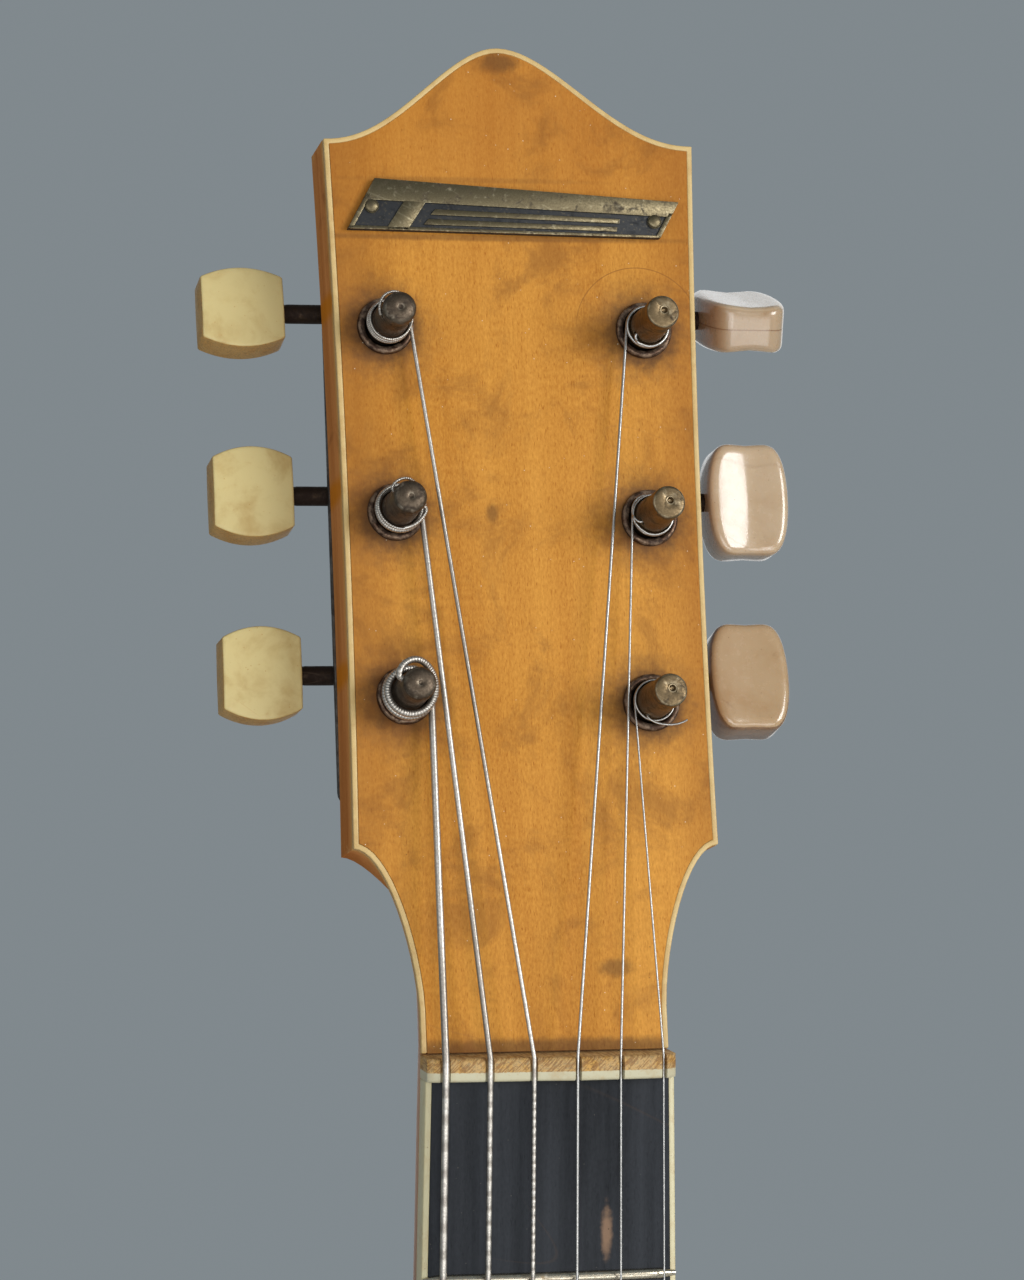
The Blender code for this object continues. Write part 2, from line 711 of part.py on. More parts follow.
def make_worm_shaft(string, name):
    at, turn = worm_place(string)
    reach = BUTTON_REACH + BUTTON_BORE_DEPTH - GAP
    thread_half = WORM_PITCH * WORM_TURNS / 2 + 0.9 * MM
    collar_end = LUG_HALF_SPACING - GAP
    profile = (
        (SHAFT_RADIUS, -LUG_HALF_SPACING - LUG_THICK - 0.5 * MM),
        (SHAFT_RADIUS, -collar_end),
        (WORM_CREST, -collar_end),
        (WORM_CREST, -thread_half - 0.2 * MM),
        (WORM_ROOT, -thread_half + 0.2 * MM),
        (WORM_ROOT, thread_half - 0.2 * MM),
        (WORM_CREST, thread_half + 0.2 * MM),
        (WORM_CREST, collar_end),
        (SHAFT_RADIUS, collar_end),
        (SHAFT_RADIUS, reach),
    )
    shaft = place(f"worm_shaft_{name}", turned(profile, 8, "x"), "dark_steel", HEAD, at, turn, smooth=True)
    join(shaft, place(f"worm_thread_{name}", make_worm_thread(), "dark_steel", HEAD, at, turn))


def make_button(string, name):
    """A barrel on the left, a larger replacement on the right; the G button stands edge on."""
    at, turn = worm_place(string)
    length, wide, thick = BUTTON_SIZES[string]
    finish, shape = ("cream_button", CREAM_SHAPE) if string < 3 else ("caramel_button", CARAMEL_SHAPE)
    start = BUTTON_REACH
    rings = []
    for share, across, deep in shape:
        section = blunt_oval(thick * deep, wide * across)
        rings.append([(start + length * share, u, v) for u, v in section])
    roll = Matrix.Rotation(math.pi / 2 if name == "g" else 0, 4, "X")
    button = place(f"button_{name}", loft(rings), finish, HEAD, at, turn @ roll, smooth=True)
    bore = ((SHAFT_RADIUS + GAP, start - 1 * MM), (SHAFT_RADIUS + GAP, start + BUTTON_BORE_DEPTH))
    cut(button, place(f"button_bore_{name}", turned(bore, 8, "x"), finish, HEAD, at, turn))


def blunt_oval(wide, high):
    """Points of an oval with squared shoulders, whose half sizes are wide and high."""
    points = []
    for i in range(BUTTON_SIDES):
        a = math.tau * (i + 0.5) / BUTTON_SIDES
        u, v = math.cos(a), math.sin(a)
        points.append((wide * math.copysign(abs(u) ** 0.5, u), high * math.copysign(abs(v) ** 0.5, v)))
    return points


def make_tuner_plate(name, strings):
    """A strip with two lugs for each worm shaft and a hole for each post."""
    side = side_of(strings[0])
    low_y, high_y = HEAD_THICK + GAP, HEAD_THICK + GAP + TUNER_PLATE_THICK
    xs = sorted(side * x for x in TUNER_PLATE_X)
    plate_bm = box((xs[0], low_y, TUNER_PLATE_Z[0]), (xs[1], high_y, TUNER_PLATE_Z[1]))
    plate = place(name, plate_bm, "aged_nickel", HEAD)
    for string in strings:
        x, z = post_place(string)
        worm_z = z + WORM_OFFSET
        for way in (-1, 1):
            inner = x + way * LUG_HALF_SPACING
            outer = inner + way * LUG_THICK
            low = (min(inner, outer), high_y - 0.5 * MM, worm_z - LUG_WIDTH / 2)
            high = (max(inner, outer), WORM_DEPTH + SHAFT_RADIUS + 1.6 * MM, worm_z + LUG_WIDTH / 2)
            join(plate, place(f"lug_{string}_{way}", box(low, high), "aged_nickel", HEAD))
        reach = LUG_HALF_SPACING + LUG_THICK + 1 * MM
        bore = ((SHAFT_RADIUS + 0.35 * MM, -reach), (SHAFT_RADIUS + 0.35 * MM, reach))
        at = (x, WORM_DEPTH, worm_z)
        cut(plate, place(f"lug_bore_{string}", turned(bore, 8, "x"), "aged_nickel", HEAD, at))
        hole = ((POST_RADIUS + 0.35 * MM, low_y - 1 * MM), (POST_RADIUS + 0.35 * MM, high_y + 1 * MM))
        cut(plate, place(f"plate_hole_{string}", turned(hole, 10), "aged_nickel", HEAD, (x, 0, z)))


# Strings


def saddle_y(string):
    """Height in the neck's frame of a string's axis over the saddle."""
    return camber(bridge_x(string)) - STRING_HEIGHT_BRIDGE


def wrap_pitch(string):
    return STRING_DIAMETERS[string] + WRAP_GAP


def winding(string):
    """The wound end in the headstock's frame, from where the string meets the post to its cut end."""
    side = side_of(string)
    radius = POST_RADIUS + GAP + STRING_DIAMETERS[string] / 2
    post_x, post_z = post_place(string)
    centre = Vector((side * -post_x, post_z))
    nut = Vector((side * -nut_x(string), 0))
    towards = nut - centre
    first = math.atan2(towards.y, towards.x) + math.acos(radius / towards.length)
    turns = STRING_TURNS[string]
    pitch = wrap_pitch(string)
    points = []
    for step in range(round(turns * POINTS_PER_TURN) + 1):
        t = step / POINTS_PER_TURN
        a = first + math.tau * t
        height = FIRST_WRAP_HEIGHT + pitch * t
        points.append((centre.x + radius * math.cos(a), -height, centre.y + radius * math.sin(a)))
    last = first + math.tau * turns
    hole = last + math.radians(34)
    top = FIRST_WRAP_HEIGHT + pitch * (turns + 0.9)
    start_height = FIRST_WRAP_HEIGHT + pitch * turns

    def spot(along_x, along_z, height):
        return Vector((centre.x + along_x, -height, centre.y + along_z))

    tangent = Vector((-math.sin(last), math.cos(last)))
    leave = Vector(points[-1])
    reach = 1.3 * MM
    bend = leave + Vector((tangent.x * reach, -pitch * 0.25, tangent.y * reach))
    ray = Vector((math.cos(hole), math.sin(hole)))
    mouth = spot(ray.x * radius * 0.95, ray.y * radius * 0.95, (top + start_height) / 2 + pitch * 0.2)
    inside = spot(ray.x * radius * 0.3, ray.y * radius * 0.3, top)
    for step in range(1, 7):
        t = step / 6
        s = 1 - t
        curve = leave * s**3 + bend * 3 * t * s**2 + mouth * 3 * t**2 * s + inside * t**3
        points.append(tuple(curve))
    for past in (0.6, 1.0):
        end = -(radius + STRING_TAIL) * past
        points.append(tuple(spot(ray.x * end, ray.y * end, top + (past - 0.6) * 2 * MM)))
    return [(side * -x, y, z) for x, y, z in points]


def tail_anchor(string):
    """Where a string goes through the tailpiece, in the body's frame."""
    return Vector((bridge_x(string), CROSSBAR_Y, CROSSBAR_Z))


def string_route(string):
    """(point, radius) pairs from the ball end to the cut end, in the part's frame."""
    thin = STRING_DIAMETERS[string] / 2
    ball = 1.9 * MM
    anchor = tail_anchor(string)
    slot_x = nut_x(string)
    slot_y = camber(slot_x) - NUT_RISE - GAP - thin
    saddle = NECK @ Vector((bridge_x(string), saddle_y(string), -SCALE_LENGTH))
    over = BODY @ anchor
    aim = (saddle - over).normalized()
    route = []
    for along, radius in ((-8.5, ball * 0.7), (-8.2, ball), (-5.6, ball), (-5.2, thin), (6, thin)):
        route.append((over + aim * along * MM, radius))
    route.append((saddle, thin))
    route.append((NECK @ Vector((slot_x, slot_y, -1 * MM)), thin))
    route.append((NECK @ Vector((slot_x, slot_y + 0.15 * MM, NUT_THICK)), thin))
    route += [(HEAD @ Vector(point), thin) for point in winding(string)]
    return route


def tube(name, route, finish, bevel_resolution):
    """A curve with a round section, whose radius may change along it."""
    curve = bpy.data.curves.new(name, "CURVE")
    curve.dimensions = "3D"
    curve.bevel_depth = MM
    curve.bevel_resolution = bevel_resolution
    curve.use_fill_caps = True
    spline = curve.splines.new("POLY")
    spline.points.add(len(route) - 1)
    for point, (place_at, radius) in zip(spline.points, route):
        point.co = (*place_at, 1)
        point.radius = radius / MM
    obj = bpy.data.objects.new(name, curve)
    bpy.context.scene.collection.objects.link(obj)
    obj.data.materials.append(material(finish))
    return obj


def least_gap(route):
    """The least clear distance of a wound tube to itself."""
    least = math.inf
    for i, (point, radius) in enumerate(route):
        for other, other_radius in route[i + POINTS_PER_TURN // 2 :]:
            least = min(least, (point - other).length - radius - other_radius)
    return least


def make_string(string, name):
    route = string_route(string)
    finish = "wound_wire" if string < 3 else "plain_wire"
    print(f"string_{name}: least gap to itself {least_gap(route) / MM:.2f} mm")
    tube(f"string_{name}", route, finish, 1)


def string_cutter(string, name):
    """The string's own path with clearance, as a cutter for its post."""
    wound = string_route(string)[-8:]
    clearance = 0.35 * MM
    guide = tube(f"string_path_{name}", [(at, radius + clearance) for at, radius in wound], "brass", 1)
    graph = bpy.context.evaluated_depsgraph_get()
    mesh = bpy.data.meshes.new_from_object(guide.evaluated_get(graph))
    bpy.data.objects.remove(guide)
    bm = bmesh.new()
    bm.from_mesh(mesh)
    bmesh.ops.remove_doubles(bm, verts=bm.verts, dist=0.001 * MM)
    return place(f"string_hole_{name}", bm, "brass", Matrix())


# Body


def body_outline():
    """The body's closed outline, (x, z) in the body's frame."""
    half = [Vector(point) * MM for point in BODY_HALF_OUTLINE]
    whole = half + [Vector((-p.x, p.y)) for p in reversed(half[1:-1])]
    return [tuple(catmull_rom(whole, len(whole) * i / BODY_STEPS, True)) for i in range(BODY_STEPS)]


def scaled(outline, share):
    return [(x * share, ARCH_CENTRE_Z + (z - ARCH_CENTRE_Z) * share) for x, z in outline]


def arch_height(share):
    """How far a carved plate rises at a share of the way out to its edge."""
    if share >= ARCH_FOOT:
        return 0
    return ARCH * smoothstep(((ARCH_FOOT - share) / ARCH_FOOT) ** 0.75)


def carved_plate():
    """A plate in the top's place: arched outside and inside, thicker in the middle."""
    outline = offset(body_outline(), BINDING_THICK + GAP)
    rings = []
    for share in (0.1, 0.3, 0.5, 0.7, 0.86, ARCH_FOOT, 1):
        rings.append([(x, -arch_height(share), z) for x, z in scaled(outline, share)])
    for share in (1, 0.92, 0.78, 0.55, 0.2):
        depth = PLATE_EDGE + PLATE_CENTRE_EXTRA * (1 - share) - arch_height(share)
        rings.append([(x, depth, z) for x, z in scaled(outline, share)])
    return loft(rings)


def f_hole_cutters(side):
    """The stem and the two eyes of one f-hole."""
    steps = 18
    name = "treble" if side > 0 else "bass"
    last = len(F_HOLE_LINE) - 1
    line = [catmull_rom(F_HOLE_LINE, last * i / steps) * MM for i in range(steps + 1)]
    left, right = [], []
    for i, point in enumerate(line):
        ahead = line[min(i + 1, steps)] - line[max(i - 1, 0)]
        normal = Vector((-ahead.y, ahead.x)).normalized()
        half = F_HOLE_WIDTH / 2 * (0.3 + 0.7 * math.sin(math.pi * i / steps))
        left.append(point + normal * half)
        right.append(point - normal * half)
    outline = [(side * p.x, p.y) for p in left + right[::-1]]
    stem = place(f"f_stem_{name}", prism(outline, -25 * MM, 12 * MM), "spruce", BODY)
    cutters = [stem]
    for number, (x, z, radius) in enumerate(F_HOLE_EYES):
        eye = turned(((radius, -26 * MM), (radius, 13 * MM)), 12)
        cutters.append(place(f"f_eye_{name}_{number}", eye, "spruce", BODY, (side * x, 0, z)))
    return cutters


def make_plates():
    """The top with its f-holes, and the back, which mirrors its arch. Returns the top's surface."""
    top_bm = carved_plate()
    surface = BVHTree.FromBMesh(top_bm)
    top = place("top_plate", top_bm, "spruce", BODY, smooth=True)
    for side in (-1, 1):
        cut(top, *f_hole_cutters(side))
    back_bm = carved_plate()
    mirror = Matrix.Translation((0, RIM_DEPTH, 0)) @ Matrix.Scale(-1, 4, (0, 1, 0))
    bmesh.ops.transform(back_bm, matrix=mirror, verts=back_bm.verts)
    place("back_plate", back_bm, "maple", BODY, smooth=True)
    return surface


def band(outset, inset, low, high):
    """A closed strip that follows the body's outline."""
    outer = offset(body_outline(), outset)
    inner = offset(body_outline(), inset)
    rings = [[(x, low, z) for x, z in outer], [(x, high, z) for x, z in outer]]
    rings += [[(x, high, z) for x, z in inner], [(x, low, z) for x, z in inner]]
    return loft(rings, closed=True)


def make_rim(mortise, pin_hole):
    edge = BINDING_HEIGHT + GAP
    rim = place("rim", band(0, RIM_WALL, edge, RIM_DEPTH - edge), "maple", BODY, smooth=True)
    cut(rim, mortise, pin_hole)
    lining_start = RIM_WALL + GAP
    lining_end = lining_start + LINING_THICK
    low, high = PLATE_EDGE + GAP, PLATE_EDGE + GAP + LINING_HEIGHT
    place("top_lining", band(lining_start, lining_end, low, high), "inner_spruce", BODY)
    back_low, back_high = RIM_DEPTH - high, RIM_DEPTH - low
    place("back_lining", band(lining_start, lining_end, back_low, back_high), "inner_spruce", BODY)
    place("top_binding", band(0, BINDING_THICK, 0, BINDING_HEIGHT), "cream_binding", BODY)
    back_edge = RIM_DEPTH - BINDING_HEIGHT
    place("back_binding", band(0, BINDING_THICK, back_edge, RIM_DEPTH), "cream_binding", BODY)


def block(name, rim_z, way):
    """A block inside the rim, notched for the linings. way is 1 where the block reaches down."""
    near = rim_z - way * (RIM_WALL + 2.6 * MM)
    shoulder = rim_z - way * (RIM_WALL + LINING_THICK + 3 * MM)
    far = rim_z - way * BLOCK_LENGTH
    shallow = PLATE_EDGE + 0.6 * MM
    notch = PLATE_EDGE + LINING_HEIGHT + 2 * GAP
    points = [(shallow, far), (shallow, shoulder), (notch, shoulder), (notch, near)]
    points += [(RIM_DEPTH - y, z) for y, z in reversed(points)]
    rings = [[(x, y, z) for y, z in points] for x in (-BLOCK_HALF_WIDTH, BLOCK_HALF_WIDTH)]
    return place(name, loft(rings), "inner_spruce", BODY)


def make_blocks(mortise, pin_hole):
    cut(block("neck_block", 0, 1), mortise)
    cut(block("end_block", BODY_END_Z, -1), pin_hole)


def make_mortise():
    """The space that the neck's tenon goes into."""
    low = (-TENON_WIDTH / 2 - GAP, TENON_SPAN[0] - GAP, -TENON_LENGTH - GAP)
    high = (TENON_WIDTH / 2 + GAP, TENON_SPAN[1] + GAP, 5 * MM)
    return place("mortise", box(low, high), "maple", BODY)


def make_pin_hole():
    profile = ((PIN_RADIUS + GAP, BODY_END_Z - 6 * MM), (PIN_RADIUS + GAP, BODY_END_Z + 60 * MM))
    return place("pin_hole", turned(profile, 12, "z"), "maple", BODY, (0, PIN_Y, 0))


def make_tone_bars(surface):
    """Two bars that follow the hollow of the top, their ends cut away."""
    for name, side in (("tone_bar_bass", -1), ("tone_bar_treble", 1)):
        rings = []
        for step in range(9):
            share = step / 8
            z = TONE_BAR_SPAN[0] + (TONE_BAR_SPAN[1] - TONE_BAR_SPAN[0]) * share
            xs = [side * TONE_BAR_X + way * TONE_BAR_WIDTH / 2 for way in (-1, 1)]
            hits = []
            for x in xs + [side * TONE_BAR_X]:
                for dz in (-8 * MM, 0, 8 * MM):
                    ray = Vector((x, 60 * MM, z + dz))
                    hits.append(surface.ray_cast(ray, Vector((0, -1, 0)))[0].y)
            glued = max(hits) + GAP
            low = glued + TONE_BAR_HEIGHT * (0.35 + 0.65 * math.sin(math.pi * share))
            rings.append([(xs[0], glued, z), (xs[1], glued, z), (xs[1], low, z), (xs[0], low, z)])
        place(name, loft(rings), "inner_spruce", BODY)


# Bridge


def bridge_z():
    """Height of the saddle's line in the body's frame."""
    return (NECK_IN_BODY @ Vector((0, -STRING_HEIGHT_BRIDGE, -SCALE_LENGTH))).z


def make_bridge(surface):
    """A base on two feet, with studs that carry the wheels and the saddle."""
    z = bridge_z()
    under = []
    steps = 16
    for step in range(steps + 1):
        x = BRIDGE_HALF_LENGTH * (2 * step / steps - 1)
        near = []
        for dz in (-12 * MM, -6 * MM, 0, 6 * MM, 12 * MM):
            for dx in (-4 * MM, 0, 4 * MM):
                ray = Vector((x + dx, -60 * MM, z + dz))
                near.append(surface.ray_cast(ray, Vector((0, 1, 0)))[0].y)
        lift = 0 if abs(x) > FOOT_INNER_X else 2.5 * MM
        under.append((x, min(near) - GAP - lift))
    high = [
        (BRIDGE_HALF_LENGTH, under[-1][1] - 3 * MM),
        (50 * MM, BASE_TOP_Y + 2.5 * MM),
        (STUD_X + 7 * MM, BASE_TOP_Y),
        (-STUD_X - 7 * MM, BASE_TOP_Y),
        (-50 * MM, BASE_TOP_Y + 2.5 * MM),
        (-BRIDGE_HALF_LENGTH, under[0][1] - 3 * MM),
    ]
    outline = under + high
    rings = [[(x, y, dz) for x, y in outline] for dz in (-BRIDGE_HALF_DEPTH, BRIDGE_HALF_DEPTH)]
    base = place("bridge_base", loft(rings), "rosewood", BODY, (0, 0, z))
    saddle = make_saddle(z)
    for name, side in (("bass", -1), ("treble", 1)):
        at = (side * STUD_X, 0, z)
        stud = turned(((STUD_RADIUS, BASE_TOP_Y + 3 * MM), (STUD_RADIUS, STUD_TOP_Y)), 10)
        join(base, place(f"stud_{name}", stud, "brass", BODY, at))
        bore = STUD_RADIUS + GAP
        hole = turned(((bore, SADDLE_BOTTOM_Y + 2 * MM), (bore, STUD_TOP_Y - 1.6 * MM)), 10)
        cut(saddle, place(f"saddle_hole_{name}", hole, "rosewood", BODY, at))
        front, back = WHEEL_SPAN
        wheel = ((WHEEL_RADIUS, front), (WHEEL_RADIUS, back), (bore, back), (bore, front))
        place(f"thumbwheel_{name}", turned(wheel, 16, closed=True), "brass", BODY, at)


def make_saddle(z):
    """Its top follows the strings' curve, just under them."""
    thickest = STRING_DIAMETERS[0] / 2
    top = []
    for step in range(9):
        x = SADDLE_HALF_LENGTH * (step / 4 - 1)
        reach = min(abs(x), 30 * MM)
        y = (NECK_IN_BODY @ Vector((0, camber(reach) - STRING_HEIGHT_BRIDGE, -SCALE_LENGTH))).y
        drop = 3 * MM if abs(x) > 40 * MM else 0
        top.append((x, y + thickest + GAP + drop))
    outline = top + [(SADDLE_HALF_LENGTH, SADDLE_BOTTOM_Y), (-SADDLE_HALF_LENGTH, SADDLE_BOTTOM_Y)]
    foot, crest = SADDLE_HALF_DEPTH, SADDLE_HALF_DEPTH * 0.45
    rings = []
    for side in (-1, 1):
        rings.append([(x, y, side * (crest if i < 9 else foot)) for i, (x, y) in enumerate(outline)])
    return place("bridge_saddle", loft(rings), "rosewood", BODY, (0, 0, z))


# Fittings


def make_tailpiece(pin_hole):
    """A crossbar on two slanted legs, and a bracket bent over the body's end."""
    end_y, end_z = -6 * MM, BODY_END_Z - 2.2 * MM
    run, fall = CROSSBAR_Z - end_z, end_y - CROSSBAR_Y
    tilt = math.atan2(fall, run)
    slope = math.hypot(run, fall)
    frame = BODY @ Matrix.Translation((0, CROSSBAR_Y, CROSSBAR_Z)) @ Matrix.Rotation(tilt, 4, "X")
    bar_bm = box((-CROSSBAR_HALF, -3 * MM, -4 * MM), (CROSSBAR_HALF, 3 * MM, 4 * MM))
    tail = place("tailpiece", bar_bm, "aged_nickel", frame)
    for side in (-1, 1):
        wide, narrow, half = CROSSBAR_HALF - 5 * MM, TAIL_FOOT_HALF - 5 * MM, 3.5 * MM
        outline = (
            (side * wide - half, 0),
            (side * wide + half, 0),
            (side * narrow + half, -slope),
            (side * narrow - half, -slope),
        )
        leg = prism(outline, -1.5 * MM, 1.5 * MM)
        join(tail, place(f"tail_leg_{side}", leg, "aged_nickel", frame))
    low = (-TAIL_FOOT_HALF, end_y - 1.5 * MM, BODY_END_Z - 2.4 * MM)
    bracket_high = (TAIL_FOOT_HALF, PIN_Y + 13 * MM, BODY_END_Z - 0.5 * MM)
    knee_high = (TAIL_FOOT_HALF, end_y + 1.5 * MM, BODY_END_Z + 9 * MM)
    join(tail, place("tail_bracket", box(low, bracket_high), "aged_nickel", BODY))
    join(tail, place("tail_knee", box(low, knee_high), "aged_nickel", BODY))
    for string in range(6):
        radius = STRING_DIAMETERS[string] / 2 + 0.4 * MM
        anchor = tail_anchor(string)
        saddle = NECK_IN_BODY @ Vector((anchor.x, saddle_y(string), -SCALE_LENGTH))
        turn = (saddle - anchor).to_track_quat("Z", "Y").to_matrix().to_4x4()
        hole = turned(((radius, -10 * MM), (radius, 10 * MM)), 6, "z")
        cut(tail, place(f"tail_hole_{string}", hole, "aged_nickel", BODY, anchor, turn))
    cut(tail, pin_hole)


def make_end_pin():
    """A turned peg with a flat end, through the bracket and the rim into the end block."""
    face = BODY_END_Z - 2.7 * MM
    profile = (
        (PIN_RADIUS, BODY_END_Z + 36 * MM),
        (PIN_RADIUS, face),
        (9 * MM, face),
        (9 * MM, face - 2.5 * MM),
        (5 * MM, face - 4.5 * MM),
        (5.5 * MM, face - 9 * MM),
        (8.5 * MM, face - 12 * MM),
        (7.5 * MM, face - 14 * MM),
    )
    place("end_pin", turned(profile, 12, "z"), "black_plastic", BODY, (0, PIN_Y, 0), smooth=True)


def make_pickguard():
    """A plate in the neck's plane that floats over the top, and the bent rod that holds it."""
    outline = [(x * MM, z * MM) for x, z in GUARD_OUTLINE]
    place("pickguard", prism(outline, 1 * MM, 3.2 * MM), "black_plastic", NECK)
    rod = 1.6 * MM
    z = -218 * MM
    under = NECK_IN_BODY @ Vector((0, 3.2 * MM, z - NECK_LENGTH))
    start_y = under.y + rod + 1.4 * MM
    bends = (
        (62 * MM, start_y),
        (100 * MM, start_y),
        (116 * MM, start_y + 3 * MM),
        (121.6 * MM, -14 * MM),
        (121.6 * MM, 24 * MM),
    )
    steps = 12
    route = []
    for i in range(steps + 1):
        point = catmull_rom(bends, (len(bends) - 1) * i / steps)
        route.append((BODY @ Vector((point.x, point.y, z)), rod))
    tube("pickguard_bracket", route, "aged_nickel", 2)


def main():
    clear_scene()
    holes = make_post_holes()
    make_headstock_veneer(holes)
    make_headstock_binding()
    make_nameplate()
    make_neck(holes)
    make_heel_cap()
    make_fingerboard()
    make_fingerboard_binding()
    make_nut()
    for string, name in enumerate(STRING_NAMES):
        make_string(string, name)
        make_string_post(string, name)
        make_ferrule(string, name)
        make_worm_shaft(string, name)
        make_button(string, name)
    make_tuner_plate("bass_tuner_plate", (0, 1, 2))
    make_tuner_plate("treble_tuner_plate", (3, 4, 5))
    surface = make_plates()
    mortise = make_mortise()
    pin_hole = make_pin_hole()
    make_rim(mortise, pin_hole)
    make_blocks(mortise, pin_hole)
    make_tone_bars(surface)
    make_bridge(surface)
    make_tailpiece(pin_hole)
    make_end_pin()
    make_pickguard()


main()
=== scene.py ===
"""The looks of an archtop guitar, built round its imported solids. +Z runs up the neck and the front is at -Y.

Pieces are modelled in millimetres in their own frame and then settled in the part's, which is in metres. Three
frames share the X axis, as in the solids: the body, the neck pitched back from it, and the headstock tilted
back from the neck. In each, x runs to the treble side, y from the front into the wood, and z up.
"""

import sys
import bisect
import json
import logging
import math
from collections.abc import Callable, Iterator, Sequence
from contextlib import contextmanager
from dataclasses import dataclass, field, replace
from enum import Enum

import bmesh
import bpy
from mathutils import Matrix, Vector

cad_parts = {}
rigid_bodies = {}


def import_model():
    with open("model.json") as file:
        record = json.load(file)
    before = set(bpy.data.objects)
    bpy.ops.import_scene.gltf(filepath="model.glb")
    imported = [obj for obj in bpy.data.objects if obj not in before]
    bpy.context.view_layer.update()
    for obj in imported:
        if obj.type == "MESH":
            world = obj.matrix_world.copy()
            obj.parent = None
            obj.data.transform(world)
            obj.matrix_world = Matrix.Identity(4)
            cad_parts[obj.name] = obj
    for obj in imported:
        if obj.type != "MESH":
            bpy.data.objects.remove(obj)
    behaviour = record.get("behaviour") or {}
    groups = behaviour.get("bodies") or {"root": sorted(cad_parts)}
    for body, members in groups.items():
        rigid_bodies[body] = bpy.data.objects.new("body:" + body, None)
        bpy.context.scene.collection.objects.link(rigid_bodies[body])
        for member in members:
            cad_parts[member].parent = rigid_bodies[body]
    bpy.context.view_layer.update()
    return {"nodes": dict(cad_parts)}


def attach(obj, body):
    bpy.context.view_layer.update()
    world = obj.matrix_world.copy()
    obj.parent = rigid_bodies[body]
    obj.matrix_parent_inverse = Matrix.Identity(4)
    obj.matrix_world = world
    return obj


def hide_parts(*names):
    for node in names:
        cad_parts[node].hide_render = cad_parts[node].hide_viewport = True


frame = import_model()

Flat = tuple[float, float]
Triple = tuple[float, float, float]
Thing = bpy.types.Object
Socket = bpy.types.NodeSocket

MM = 0.001
GAP = 0.3  # between the solids that touch
SCALE_LENGTH = 628.65
NECK_PITCH = math.radians(3.5)
HEAD_TILT = math.radians(12)
NUT_THICK = 4.2
NUT_WIDTH = 45.3
BOARD_RISE = 18
BOARD_THICK = 6
HEAD_DROP = 4.8
HEAD_THICK = 15
HANGER_Z = 26
STRING_NAMES = ("low_e", "a", "d", "g", "b", "high_e")
STRING_DIAMETERS = (1.32, 1.07, 0.84, 0.58, 0.45, 0.38)
POST_PLACES = ((-23.3, 64.5), (-23.8, 98.1), (-24.5, 132.6), (23.9, 132.4), (23.4, 97.2), (22.2, 63.0))
SHAFT_ABOVE_POST = 7
SHAFT_DEPTH = 19.9
ROOT = "guitar"

logger = logging.getLogger("guitar")


def fret_distance(fret: float) -> float:
    """From the nut to a fret, by equal temperament."""
    return SCALE_LENGTH * (1 - 2 ** (-fret / 12))


NECK_LENGTH = fret_distance(14)
BOARD_LENGTH = fret_distance(20) + 7
NECK_IN_BODY = Matrix.Translation(
    (0, NECK_LENGTH * math.sin(NECK_PITCH) - BOARD_RISE, NECK_LENGTH * math.cos(NECK_PITCH))
) @ Matrix.Rotation(-NECK_PITCH, 4, "X")
HEAD_IN_NECK = Matrix.Translation((0, HEAD_DROP, NUT_THICK)) @ Matrix.Rotation(-HEAD_TILT, 4, "X")
BODY = Matrix.Translation(-(NECK_IN_BODY @ HEAD_IN_NECK @ Vector((0, HEAD_THICK / 2, HANGER_Z))))
NECK = BODY @ NECK_IN_BODY
HEAD = NECK @ HEAD_IN_NECK
UPRIGHT = Matrix()


# Outlines


def offset(outline: Sequence[Flat], distance: float) -> list[Flat]:
    """Moves a closed outline inwards.

    Args:
        outline: (x, z) points in order.
        distance: how far each side moves in; a negative one moves it out.

    Returns:
        As many points.
    """
    count = len(outline)
    area = sum(a[0] * b[1] - b[0] * a[1] for a, b in zip(outline, [*outline[1:], outline[0]]))
    inward = distance if area > 0 else -distance
    moved = []
    for i, point in enumerate(outline):
        before = Vector(point) - Vector(outline[i - 1])
        after = Vector(outline[(i + 1) % count]) - Vector(point)
        first = Vector((-before.y, before.x)).normalized()
        second = Vector((-after.y, after.x)).normalized()
        bisector = (first + second).normalized()
        moved.append(tuple(Vector(point) + bisector * inward / max(bisector.dot(first), 0.3)))
    return moved


def catmull_rom(points: Sequence, t: float, closed: bool = False) -> Vector:
    """Follows the smooth curve through given points.

    Args:
        points: the points, which lie at whole values of t.
        t: how far along.
        closed: joins the last point to the first.

    Returns:
        The point there.
    """
    count = len(points)
    start = min(math.floor(t), count - (1 if closed else 2))
    u = t - start
    spots = [(start + k) % count if closed else min(max(start + k, 0), count - 1) for k in (-1, 0, 1, 2)]
    a, b, c, d = (Vector(points[spot]) for spot in spots)
    return 0.5 * (2 * b + (c - a) * u + (2 * a - 5 * b + 4 * c - d) * u**2 + (3 * b - a - 3 * c + d) * u**3)


def smooth_line(points: Sequence, steps: int, closed: bool = False) -> list[Vector]:
    """Points of the smooth curve through the given ones, in even steps of its parameter."""
    spans = len(points) if closed else len(points) - 1
    return [catmull_rom(points, spans * i / steps, closed) for i in range(steps if closed else steps + 1)]


def smoothstep(t: float) -> float:
    """Rises from 0 to 1 with level ends."""
    t = min(max(t, 0), 1)
    return t * t * (3 - 2 * t)


def oval(half_wide: float, half_high: float, power: float, count: int, bulge: float | None = None) -> list[Flat]:
    """Draws an oval.

    Args:
        half_wide: half its width.
        half_high: half its height.
        power: makes it squarer as it falls below 1.
        count: how many points.
        bulge: a power of its own for the heights, which keeps its ends round.

    Returns:
        Its points.
    """
    points = []
    for i in range(count):
        u, v = math.cos(math.tau * i / count), math.sin(math.tau * i / count)
        high = half_high * math.copysign(abs(v) ** (bulge or power), v)
        points.append((half_wide * math.copysign(abs(u) ** power, u), high))
    return points


